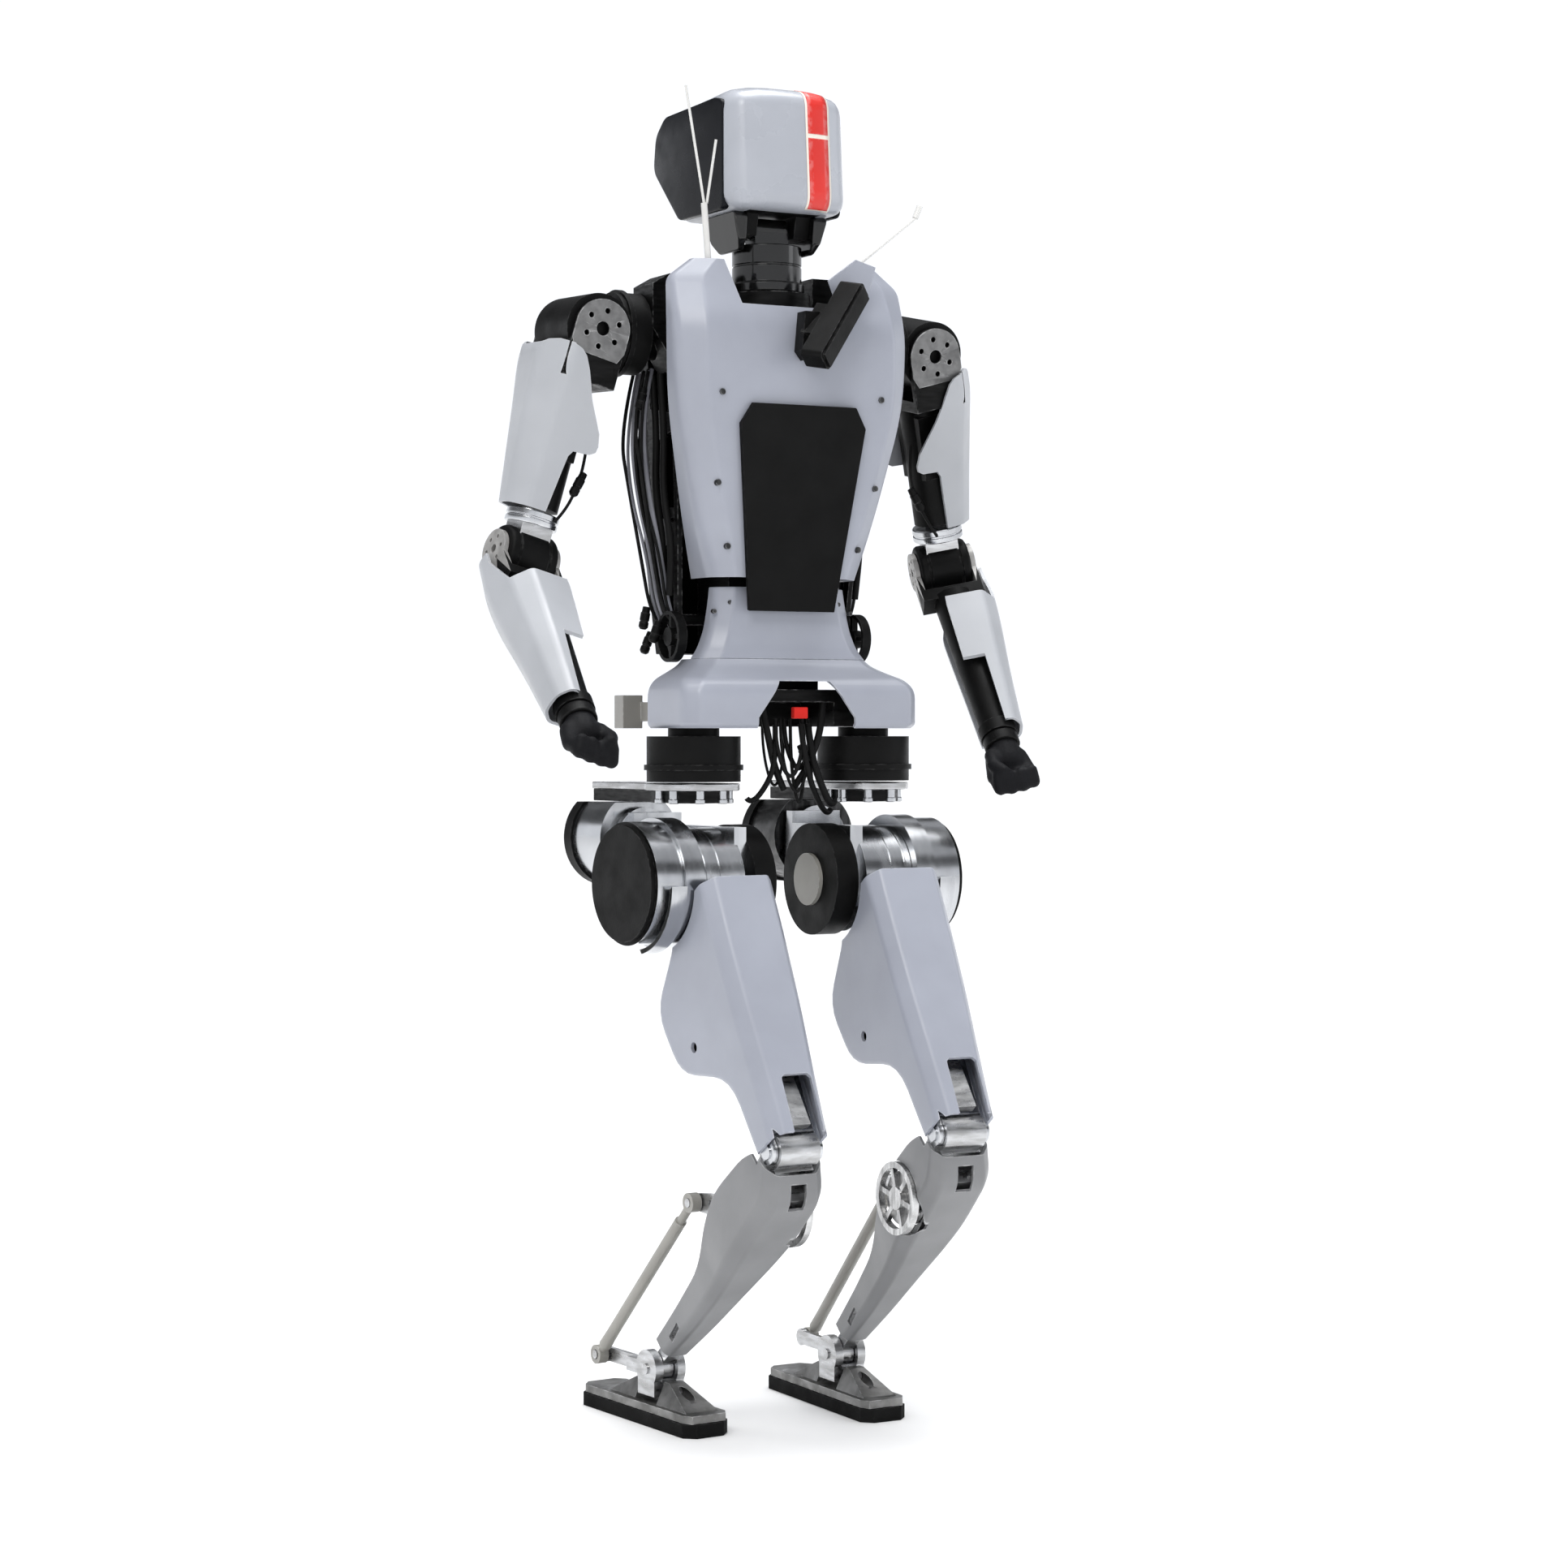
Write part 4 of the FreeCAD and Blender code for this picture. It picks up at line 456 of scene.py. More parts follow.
def smoothed(rows, blends):
    """More rows between rings, so that each kink in height becomes a curve."""
    made = [rows[0]]
    for index in range(1, len(rows) - 1):
        blend = blends[index] if isinstance(blends, (list, tuple)) else blends
        for step in range(BLEND_STEPS + 1):
            t = step / BLEND_STEPS
            row = []
            for before, here, after in zip(rows[index - 1], rows[index], rows[index + 1]):
                back, ahead = before - here, after - here
                first = here + back * min(0.47, blend / max(back.length, 1e-9))
                last = here + ahead * min(0.47, blend / max(ahead.length, 1e-9))
                row.append(first * (1 - t) ** 2 + here * 2 * t * (1 - t) + last * t * t)
            made.append(row)
    made.append(rows[-1])
    return made


def skin(name, rows, open_columns=(), cap_low=False, cap_high=False):
    """A surface through rings with equal numbers of points, in millimetres."""
    count = len(rows[0])
    points = [p * MM for row in rows for p in row]
    faces = []
    for level in range(len(rows) - 1):
        for column in range(count):
            if column in open_columns:
                continue
            following = (column + 1) % count
            low, high = level * count, (level + 1) * count
            faces.append((low + column, low + following, high + following, high + column))
    if cap_low:
        faces.append(tuple(range(count - 1, -1, -1)))
    if cap_high:
        start = (len(rows) - 1) * count
        faces.append(tuple(range(start, start + count)))
    return tidy(add_object(name, mesh_from(name, points, faces)))


def six(height, half, flat, front, side_front, rear):
    """A level six-cornered outline, like the one that the cover's solid has."""
    spots = [(-flat, front), (flat, front), (half, side_front), (half, rear), (-half, rear),
        (-half, side_front)]
    return [Vector((x, y, height)) for x, y in spots]


def thicken(obj, wall):
    modifier(obj, "SOLIDIFY", "wall", thickness=wall * MM, offset=-1, use_even_offset=True)
    return settle(obj)


def block(low, high):
    """A tool in millimetres between two corners."""
    (x0, y0, z0), (x1, y1, z1) = low, high
    points = [Vector((x, y, z)) * MM for z in (z0, z1) for x,
        y in ((x0, y0), (x1, y0), (x1, y1), (x0, y1))]
    faces = [(3, 2, 1, 0), (4, 5, 6, 7), (0, 1, 5, 4), (1, 2, 6, 5), (2, 3, 7, 6), (3, 0, 4, 7)]
    return add_object("tool", mesh_from("tool", points, faces))


def slab(outline, axis, low, high):
    """A straight solid of an outline in millimetres, pushed along x, y or z."""
    if axis == "x":
        rings = [[Vector((end, a, b)) for a, b in outline] for end in (low, high)]
    elif axis == "y":
        rings = [[Vector((a, end, b)) for a, b in outline] for end in (low, high)]
    else:
        rings = [[Vector((a, b, end)) for a, b in outline] for end in (low, high)]
    return skin("tool", rings, cap_low=True, cap_high=True)


def lathe(profile, axis, centre, segments=64):
    """A turned solid: profile is (distance along the axis, radius) from end to end."""
    rows = []
    for along, radius in profile:
        row = []
        for step in range(segments):
            turn = 2 * pi * step / segments
            a, b = max(radius, 0.02) * cos(turn), max(radius, 0.02) * sin(turn)
            offset = {"x": Vector((along, a, b)), "y": Vector((b, along, a)),
                "z": Vector((a, b, along))}[axis]
            row.append(Vector(centre) + offset)
        rows.append(row)
    return skin("turned", rows, cap_low=True, cap_high=True)


def mirrored(obj):
    """The other side's version of an object that is still at its link's origin."""
    obj.data.transform(Matrix.Scale(-1, 4, Vector((1, 0, 0))))
    return tidy(obj)


def finish_piece(obj, name, body, material, nodes=(), bevel=0.8):
    """Place a piece by its body's link, round its edges, give it its finish and let it ride."""
    obj.name = name
    obj.data.name = name
    obj.data.transform(LINKS[body])
    if bevel:
        modifier(obj, "BEVEL", "edges", width=bevel * MM, segments=2, limit_method="ANGLE",
            angle_limit=radians(PIECE_ANGLE), use_clamp_overlap=True, harden_normals=False)
        modifier(obj, "WEIGHTED_NORMAL", "shade", keep_sharp=True, weight=60)
    for polygon in obj.data.polygons:
        polygon.use_smooth = True
    obj.data.materials.clear()
    obj.data.materials.append(material)
    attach(obj, body)
    if nodes:
        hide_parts(*nodes)


# ------------------------------------------------------------------ CAD nodes that stay
def solids_of(mesh):
    """The separate solids of a mesh, each as a list of its faces."""
    parent = {}

    def top(key):
        while parent[key] != key:
            parent[key] = parent[parent[key]]
            key = parent[key]
        return key

    keys = [tuple(round(c, 6) for c in v.co) for v in mesh.vertices]
    for key in keys:
        parent.setdefault(key, key)
    for polygon in mesh.polygons:
        first = top(keys[polygon.vertices[0]])
        for index in polygon.vertices[1:]:
            parent[top(keys[index])] = first
    groups = {}
    for polygon in mesh.polygons:
        groups.setdefault(top(keys[polygon.vertices[0]]), []).append(polygon.index)
    return list(groups.values())


def dress(node, materials, choose=None):
    """Give a CAD node its finish; choose picks a material's place for each solid's box."""
    obj = NODES[node]
    mesh = obj.data
    mesh.materials.clear()
    for material in materials:
        mesh.materials.append(material)
    if choose:
        back = LINKS[choose[0]].inverted()
        for faces in solids_of(mesh):
            spots = [back @ mesh.vertices[i].co for f in faces for i in mesh.polygons[f].vertices]
            low = Vector((min(p[k] for p in spots) for k in range(3))) / MM
            high = Vector((max(p[k] for p in spots) for k in range(3))) / MM
            place = choose[1](low, high)
            for face in faces:
                mesh.polygons[face].material_index = place
    else:
        for polygon in mesh.polygons:
            polygon.material_index = 0
    for polygon in mesh.polygons:
        polygon.use_smooth = True
    if "custom_normal" in mesh.attributes:
        mesh.attributes.remove(mesh.attributes["custom_normal"])
    modifier(obj, "WELD", "weld", merge_threshold=1e-5)
    modifier(obj, "BEVEL", "edges", width=NODE_BEVEL * MM, segments=2, limit_method="ANGLE",
        angle_limit=radians(NODE_ANGLE), use_clamp_overlap=True)
    modifier(obj, "WEIGHTED_NORMAL", "shade", keep_sharp=True, weight=60)


def dress_all():
    """Finish every CAD node; the ones that a piece replaces stay hidden."""
    for node, material in (("torso_frame", BLACK), ("chest_cover", COVER), ("waist_cover", COVER),
            ("pelvis_tray", COVER), ("back_cover", MOTOR), ("rear_module", MODULE),
            ("belly_plate", PLATE), ("depth_camera", MOTOR), ("antennas", WHIP),
            ("cover_screws", DARK_STEEL), ("torso_cables", CABLE),
            ("cooling_fans", MOTOR), ("hip_yaw_drives", MOTOR),
            ("neck_column", GLOSS), ("head_shell", HEAD),
            ("head_side_panels", PANEL), ("head_stripe", STRIPE),
            ("head_base", MOTOR)):
        dress(node, [material])
    for word in SIDES:
        for node, material in (("shoulder_drive", MOTOR), ("shoulder_yoke", BLACK),
                ("upper_arm_drive", MOTOR), ("upper_arm_cover", ARM),
                ("forearm_frame", PALE), ("forearm_cover", ARM), ("hand", GLOVE),
                ("hip_yaw_bracket", BRUSHED), ("hip_roll_drive", MOTOR),
                ("thigh_cover", COVER), ("shank_cover", SHADED_SHANK),
                ("ankle_crank", BRUSHED), ("ankle_rod", ROD),
                ("ankle_cross", BRUSHED), ("foot_plate", FOOT),
                ("foot_sole", RUBBER)):
            dress(word + "_" + node, [material])
        dress(word + "_elbow_bracket", [MOTOR])
        dress(word + "_hip_pitch_drive", [BRIGHT, MOTOR, ROD],
            (word + "_hip_roll",
            lambda low, high: 0 if high.y > 80 else (2 if high.z < 35 else 1)))
        dress(word + "_thigh_drive_cap", [BRIGHT, MOTOR, BLACK],
            (word + "_thigh",
            lambda low, high: 2 if high.z < 20 else (
            0 if min(abs(low.x), abs(high.x)) < 40 else 1)))
        dress(word + "_thigh_frame", [BRIGHT, MOTOR, STEEL],
            (word + "_thigh",
            lambda low, high: 1 if low.y > -5 and high.z > -125 else (2 if high.x < 16 else 0)))
        dress(word + "_shank_frame", [BRUSHED, STEEL],
            (word + "_shank", lambda low, high: 1 if low.z > -160 and high.z < -50 else 0))


dress_all()


# ------------------------------------------------------------------ pale covers
def rear_columns(steps, corner):
    """The columns of the open edge that starts at a corner of a rounded outline."""
    return {corner * (steps + 1) + steps}


def chest():
    """Front cover with soft bevels, a sloped collar and a notch for the neck."""
    rows = []
    lean = (56 - 29) / (1161 - 965)
    plan = [(965, 95, 71, 18, 36), (1032, 116, 89, 20, 18), (1161, 146, 120, 22, -6),
        (1246, 150, 120, 24, -12), (1299, 147, 116, 16, -4), (1321, 118, 94, 8, -6)]
    for height, outer, flat, bevel_back, rear in plan:
        front = 29 + lean * (min(height, 1161) - 965)
        if height > 1246:
            front -= (height - 1246) * 0.42
        ring = six(height, outer, flat, -front, -front + bevel_back, rear)
        rows.append(rounded(ring, [12, 12, 26, 0, 0, 26], 5))
    cover = skin("chest", smoothed(rows, [0, 40, 40, 22, 9, 0]), rear_columns(5, 3), cap_high=True)
    thicken(cover, COVER_WALL)
    notch = slab([(-72, 1270), (72, 1270), (86, 1330), (-86, 1330)], "y", -120, 60)
    carve(cover, notch)
    finish_piece(cover, "chest_shell", "torso", COVER, ["chest_cover"], bevel=1.3)


def waist_and_tray():
    """Low waist wall that flows out in a hollow curve over the wide pelvis tray."""
    rows = [rounded(six(z, half, half - 19, front, front + 13, 14), [9, 9, 14, 0, 0, 14], 5)
        for z, half, front in ((873.6, 107.5, -23), (886, 99, -19), (907, 91, -17),
        (936, 86, -15), (955, 84, -13))]
    waist = skin("waist", smoothed(rows, 8), rear_columns(5, 3))
    thicken(waist, COVER_WALL)
    finish_piece(waist, "waist_shell", "torso", COVER, ["waist_cover"], bevel=1.2)
    rows = [rounded(six(z, half, half - 16, front, front + 16, 34), [10, 10, 18, 0, 0, 18], 5)
        for z, half, front in ((795, 147, -63), (799, 151, -67), (838, 151, -67),
        (850, 143, -58), (858, 128, -41), (866, 114, -29),
        (873.3, 108, -23.5))]
    tray = skin("tray", smoothed(rows, [0, 3, 10, 8, 9, 9, 0]), rear_columns(5, 3))
    thicken(tray, COVER_WALL)
    notch = slab([(-62, 786), (62, 786), (62, 807), (32, 848), (-32, 848), (-62, 807)], "y", -90,
        -30)
    well = block((-80, 6, 843), (80, 130, 903))
    carve(tray, notch, well)
    finish_piece(tray, "tray_shell", "torso", COVER, ["pelvis_tray"], bevel=1.3)


def thigh(word):
    """Flat-fronted cover that narrows to the knee and bulges round behind the middle."""
    rows = []
    knee, top = -341, -49
    plan = [(knee, 38, 13), (-321, 38.5, 13), (-249, 42, 9), (-196, 45, 90), (-117, 47, 91),
        (-76, 47, 20), (top, 47, 4)]
    for height, half, rear in plan:
        share = (height - knee) / (top - knee)
        front = 35 + share * (88 - 35)
        ring = six(height, half, half - 13, -front, -front + 15, rear)
        rows.append(rounded(ring, [9, 9, 12, 9, 9, 12], 4))
    cover = skin("thigh", smoothed(rows, [0, 8, 34, 26, 26, 16, 0]))
    thicken(cover, COVER_WALL)
    hip = lathe([(-120, 77), (120, 77)], "x", (0, 0, 0))
    hole = lathe([(-80, 6), (80, 6)], "x", (0, 44, -188), 24)
    window = slab([(-13, -347), (25, -347), (25, -281), (21, -277), (-9, -277), (-13, -281)], "y",
        -80, -20)
    room = lathe([(-33.8, 30), (33.8, 30)], "x", (0, 0, -345), 48)
    carve(cover, hip, hole, window, room)
    finish_piece(cover, word + "_thigh_shell", word + "_thigh", COVER,
        [word + "_thigh_cover"], bevel=1.2)


def shank(word, side):
    """Slim open-backed cover with a knee window and room for the ankle motor."""
    rows = []
    plan = [(-348, 18, 14, 12), (-282, 21, 27, 8), (-206, 27, 38, 4), (-150, 36, 44, 22),
        (-104, 40, 48, 30), (-34, 40, 49, 20), (-10, 37, 26, 10)]
    for height, half, front, rear in plan:
        flat = half - min(12, half * 0.36)
        ring = six(height, half, flat, -front, -front + half * 0.36, rear)
        rows.append(rounded(ring, [8, 8, 12, 0, 0, 12], 4))
    cover = skin("shank", smoothed(rows, [0, 20, 26, 22, 22, 14, 0]), rear_columns(4, 3))
    thicken(cover, SHANK_WALL)
    motor = lathe([(20, 42), (80, 42)] if side < 0 else [(-80, 42), (-20, 42)], "x", (0, -6, -100),
        48)
    window = slab([(-8, -44), (12, -44), (12, -18), (-8, -18)], "y", -62, -22)
    slot = block((-60, -12, -322), (60, -4, -296))
    notch = block((-60, -2, -18), (60, 58, 12))
    carve(cover, motor, window, slot, notch)
    finish_piece(cover, word + "_shank_shell", word + "_shank", SHADED_SHANK,
        [word + "_shank_cover"], bevel=1.0)


def upper_arm(word, side):
    """Outer shell of the upper arm with a rounded flap at the front; built for the left."""
    rows = []
    for height, out, front, rear in ((-212, 41, 30, 30), (-152, 48, 37, 36), (-96, 54, 47, 44),
            (-52, 58, 57.8, 57.8), (-24, 57, 57.8, 57.8)):
        spots = [(-0.95 * out, -front), (0.5 * out, -front), (out, -0.46 * front),
            (out, 0.46 * rear), (0.5 * out, rear), (-0.95 * out, rear)]
        rows.append(rounded([Vector((x, y, height)) for x, y in spots], [0, 16, 20, 20, 16, 0], 4))
    cover = skin("upper_arm", smoothed(rows, [0, 24, 20, 14, 0]))
    thicken(cover, ARM_WALL)
    inner = slab([(-78, -222), (0, -222), (-6, -146), (-10, -139), (-30, -137), (-36, -133),
        (-37, -126),
        (-33, -112), (-10, -78), (4, -50), (12, -36), (19, -30), (28, -27), (28, 38),
        (-78, 38)],
        "y", -80, 80)
    corner = slab([(28, -26), (42, -24.6), (50, -27), (55, -32), (58, -42), (90, -42), (90, 20),
        (28, 20)],
        "y", -80, 80)
    room = block((-34, -YOKE_ROOM, -62.6), (34, YOKE_ROOM, 27.4))
    roll = lathe([(-YOKE_ROOM, 42), (YOKE_ROOM, 42)], "y", (0, 0, 0), 48)
    carve(cover, inner, corner, room, roll)
    if side < 0:
        mirrored(cover)
    finish_piece(cover, word + "_upper_arm_shell", word + "_upper_arm", ARM,
        [word + "_upper_arm_cover"], bevel=1.0)


def forearm(word, side):
    """Outer shell of the forearm, stepped over the elbow drive; built for the left."""
    rows = []
    for height, out, front, rear in ((-256, 30, 25, 27), (-180, 36, 31, 35), (-100, 45, 38, 46),
            (-48, 48, 40, 48), (-8, 47, 36, 42)):
        spots = [(-0.8 * out, -front), (0.62 * out, -front), (out, -0.4 * front), (out, 0.5 * rear),
            (0.6 * out, rear), (-0.8 * out, rear)]
        rows.append(rounded([Vector((x, y, height)) for x, y in spots], [0, 12, 18, 18, 14, 0], 4))
    cover = skin("forearm", smoothed(rows, [0, 30, 24, 18, 0]))
    thicken(cover, ARM_WALL)
    inner = block((-78, -70, -265), (-18, 70, 30))
    step = slab([(-60, -74), (-16, -74), (4, -24), (4, 10), (-60, 10)], "x", -60, 60)
    lower = slab([(-60, -266), (-12, -266), (-12, -172), (-60, -150)], "x", -60, 8)
    flap = slab([(-70, -96), (-19, -96), (-17, -74), (-10, -52), (0, -38), (12, -29), (24, -25),
        (24, 12),
        (-70, 12)], "y", -80, 80)
    drive = lathe([(-60, ELBOW_BAND), (38.4, ELBOW_BAND)], "x", (0, 0, 0), 48)
    carve(cover, inner, step, lower, flap, drive)
    if side < 0:
        mirrored(cover)
    finish_piece(cover, word + "_forearm_shell", word + "_forearm", ARM,
        [word + "_forearm_cover"], bevel=1.0)


chest()
waist_and_tray()
for word, side in SIDES.items():
    thigh(word)
    shank(word, side)
    upper_arm(word, side)
    forearm(word, side)


# ------------------------------------------------------------------ head
def head_ring(x, inset=0.0):
    """The head's side outline at a distance from its middle, crowned towards the edges."""
    k = (x / HEAD_HALF) ** 2
    top = 157.5 - 3 * k - 9 * k * k
    face = -74 + 5 * k + 12 * k * k
    spots = [(face, 14 + k), (77, 14), (151 - 5 * k, 80), (147 - 5 * k, top - 32),
        (119, top - 6), (-27, top), (face + 9, top - 9)]
    spots = shrink([Vector((a, b, 0)) for a, b in spots], inset)
    radii = [max(r - inset, 3) for r in (20, 22, 30, 40, 40, 60, 26)]
    return [Vector((x, p.x, p.y)) for p in rounded(spots, radii, 6)]


def shrink(points, amount):
    """Each edge of a convex, anticlockwise outline moved inwards."""
    moved = []
    for index, here in enumerate(points):
        first = (here - points[index - 1]).normalized()
        second = (points[(index + 1) % len(points)] - here).normalized()
        inward = Vector((-first.y, first.x, 0)) + Vector((-second.y, second.x, 0))
        moved.append(here + inward * (amount / (1 + first.dot(second))))
    return moved


def head():
    """Hollow rounded shell and a dark panel proud of each side."""
    low = []
    high = []
    for step in range(7):
        turn = radians(15 * step)
        out = HEAD_EDGE * (1 - cos(turn))
        inset = HEAD_EDGE * (1 - sin(turn))
        low.append(head_ring(-HEAD_HALF + out, inset))
        high.insert(0, head_ring(HEAD_HALF - out, inset))
    rows = low + [head_ring(x) for x in (-40, -20, 0, 20, 40)] + high
    shell = skin("head", rows, cap_low=True, cap_high=True)
    thicken(shell, COVER_WALL)
    carve(shell, block((-46, -46, -40), (46, 62, 21)))
    finish_piece(shell, "head_dome", "head", HEAD, ["head_shell"], bevel=0.8)
    for word, side in SIDES.items():
        corners = [(-38, 15), (74, 16), (140, 82), (134, 122), (110, 141), (-16, 143), (-36, 138)]
        rings = []
        for out, inset in ((68, 0.0), (74.6, 0.0), (75.8, 0.5), (76.3, 1.8)):
            spots = shrink([Vector((a, b, 0)) for a, b in corners], inset)
            rings.append([Vector((side * out, p.x, p.y)) for p in rounded(spots,
                [9, 16, 22, 24, 24, 14, 12], 6)])
        panel = skin("panel", rings, cap_low=True, cap_high=True)
        finish_piece(panel, word + "_head_panel", "head", PANEL,
            ["head_side_panels"] if side < 0 else [], bevel=0)


def span(ring, low, high, count):
    """Evenly spread points of a rising line between two heights."""
    heights = [low + (high - low) * step / (count - 1) for step in range(count)]
    made = []
    for height in heights:
        for first, second in zip(ring, ring[1:]):
            if first.z <= height <= second.z and second.z > first.z:
                made.append(first.lerp(second, (height - first.z) / (second.z - first.z)))
                break
        else:
            made.append(ring[-1].copy() if height > ring[-1].z else ring[0].copy())
    return made


def face_band(name, start, end, low, high, grow, material, nodes=()):
    """A film on the face that follows its crown, between two heights."""
    rows = []
    count = 60
    for step in range(5):
        x = start + (end - start) * step / 4
        ring = [p for p in head_ring(x, -grow) if p.y < -20 and p.z > 14.5]
        ring.sort(key=lambda p: atan2(p.z - 90, -p.y + 20))
        rows.append(span(ring, low, high, count))
    points = [p * MM for row in rows for p in row]
    faces = [(a * count + b, a * count + b + 1, (a + 1) * count + b + 1, (a + 1) * count + b)
        for a in range(4) for b in range(count - 1)]
    band = tidy(add_object(name, mesh_from(name, points, faces)))
    modifier(band, "SOLIDIFY", "film", thickness=0.5 * MM, offset=0)
    settle(band)
    finish_piece(band, name, "head", material, nodes, bevel=0)


head()
face_band("face_stripe_low", 16.5, 43.5, 17, 97, 0.6, STRIPE, ["head_stripe"])
face_band("face_stripe_high", 16.5, 43.5, 102, 156, 0.6, STRIPE)
face_band("face_stripe_edge", 13.8, 46.2, 15.5, 157, 0.3, EDGE)


# ------------------------------------------------------------------ hands
def capsules(name, bones):
    """A soft union of round-ended bones: each is (start, end, first radius, last radius)."""
    made = bmesh.new()
    for start, end, first, last in bones:
        a, b = Vector(start), Vector(end)
        count = max(2, int((b - a).length / 4))
        for step in range(count + 1):
            t = step / count
            place = Matrix.Translation(a.lerp(b, t) * MM)
            bmesh.ops.create_icosphere(made, subdivisions=2,
                radius=(first + (last - first) * t) * MM,
                matrix=place)
    mesh = bpy.data.meshes.new(name)
    made.to_mesh(mesh)
    made.free()
    obj = add_object(name, mesh)
    modifier(obj, "REMESH", "union", mode="VOXEL", voxel_size=GLOVE_VOXEL * MM)
    modifier(obj, "SMOOTH", "ease", factor=0.7, iterations=6)
    return settle(obj)


def hand(word, side):
    """Closed soft glove with four folded fingers, a thumb and a cuff."""
    top = HAND_TOP
    bones = [((0, 0, top - 12), (0, 0, top - 2), 18, 18),
        ((0, 0, top - 14), (0, 0, top - 34), 18, 20)]
    for index, x in enumerate((-20, -7, 7, 20)):
        long = (2, 5, 4, 0)[index] if side > 0 else (0, 4, 5, 2)[index]
        bones.append(((x * 0.7, 3, top - 30), (x, 2, top - 52), 12, 10))
        bones.append(((x, 0, top - 52), (x, -7, top - 74 - long * 0.6), 9.5, 8.6))
        bones.append(((x, -7, top - 74 - long * 0.6), (x, -15, top - 64), 8.4, 7.6))
    bones.append(((-18 * side, -8, top - 28), (-21 * side, -17, top - 48), 9, 8.6))
    bones.append(((-21 * side, -17, top - 48), (-13 * side, -22, top - 62), 8.4, 7.4))
    glove = capsules("glove", bones)
    finish_piece(glove, word + "_glove", word + "_wrist", GLOVE, [word + "_hand"], bevel=0)
    cuff = lathe([(top - 15, 19), (top - 14, 21), (top - 3, 21), (top - 0.4, 20)], "z", (0, 0, 0),
        40)
    finish_piece(cuff, word + "_glove_cuff", word + "_wrist", MOTOR, bevel=0.6)


def neck():
    """Glossy grooved column with a flared foot and the lug that the head tips on."""
    outline = [(0.6, 30), (0.6, 42), (2, 43), (10, 43), (11, 42), (12, 40), (30, 40), (30.8, 39),
        (32.2, 39), (33, 40), (53, 40), (54, 39), (54, 24)]
    column = lathe(outline, "z", (0, 0, 0), 72)
    finish_piece(column, "neck_barrel", "neck", GLOSS, ["neck_column"], bevel=0.4)
    lug = lathe([(-22, 8), (-22, 12), (-21, 13), (21, 13), (22, 12), (22, 8)], "x", (0, 0, 74), 36)
    web = block((-21.5, -12.5, 52), (21.5, 12.5, 74))
    carve(lug, web, operation="UNION")
    finish_piece(lug, "neck_lug", "neck", GLOSS, bevel=0.4)


def cheek(word, side):
    """One of the two tapered plates under the head, on each side of the neck."""
    profile = [(-36, 15), (44, 15), (36, -16), (26, -28), (-24, -28), (-32, -16)]
    rings = []
    for out in (42.5, 60):
        ring = rounded([Vector((a, b, 0)) for a, b in profile], 7, 4)
        rings.append([Vector((side * (out if out < 50 or p.y > 0 else out + p.y * 0.42), p.x, p.y))
            for p in ring])
    plate = skin("cheek", rings, cap_low=True, cap_high=True)
    finish_piece(plate, word + "_neck_cheek", "head", GLOSS, bevel=2.0)


neck()
cheek("right", -1)
cheek("left", 1)
for word, side in SIDES.items():
    hand(word, side)


# ------------------------------------------------------------------ shoulders and elbows
def shoulder_plates(word):
    """Grey holed faces on the yoke's black cheeks."""
    inside = YOKE_FACE - PLATE_THICK
    for face, low, high in (("front", -YOKE_FACE, -inside), ("rear", inside, YOKE_FACE)):
        points = [(33 * cos(radians(a)), 33 * sin(radians(a))) for a in range(0, 181, 9)]
        points = points + [(-33, -20), (-27, -32), (27, -32), (33, -20)]
        plate = slab(points, "y", low, high)
        tools = [lathe([(low - 2, 8), (high + 2, 8)], "y", (0, 0, 0), 28)]
        for step in range(6):
            turn = radians(60 * step)
            tools.append(lathe([(low - 2, 3.3), (high + 2, 3.3)], "y",
                (20.5 * sin(turn), 0, 20.5 * cos(turn)), 16))
        carve(plate, *tools)
        finish_piece(plate, "%s_shoulder_plate_%s" % (word, face), word + "_upper_arm", GREY,
            bevel=0.5)


def repaint(node, link, material, choose):
    """Another finish for the faces of a CAD node whose centre and normal pass a test."""
    obj = NODES[node]
    local = LINKS[link].inverted() @ obj.matrix_world
    slots = obj.data.materials
    place = slots.find(material.name)
    if place < 0:
        slots.append(material)
        place = len(slots) - 1
    for polygon in obj.data.polygons:
        if choose(local @ polygon.center, local.to_3x3() @ polygon.normal):
            polygon.material_index = place


def reach(node, link, direction):
    """How far a CAD node goes along a direction of a link."""
    obj = NODES[node]
    local = LINKS[link].inverted() @ obj.matrix_world
    return max((local @ v.co).dot(Vector(direction)) for v in obj.data.vertices)


def bright_bands(word, side):
    """Bare metal on the round sides of the right hip drive, dark steel on the left one's as painted
    shade; black tube below the elbow disc.
    """
    drum, hip = word + "_hip_roll_drive", word + "_hip_yaw"
    rear = reach(drum, hip, (0, 1, 0))
    # The left drum's round sides are dark steel, a painted shade; the right drum's are bright
    # metal.
    repaint(drum, hip, BRIGHT if side < 0 else DARK_STEEL,
        lambda centre, normal: centre.y < rear - 17 * MM)
    repaint(word + "_forearm_frame", word + "_forearm", MOTOR,
        lambda centre, normal: centre.z < -ELBOW_BAND * MM)
    cap, thigh_link = word + "_thigh_drive_cap", word + "_thigh"
    far = reach(cap, thigh_link, (side, 0, 0))
    repaint(cap, thigh_link, BRIGHT,
        lambda centre, normal: 40 * MM < side * centre.x < far - 7 * MM and abs(normal.x) < 0.5)


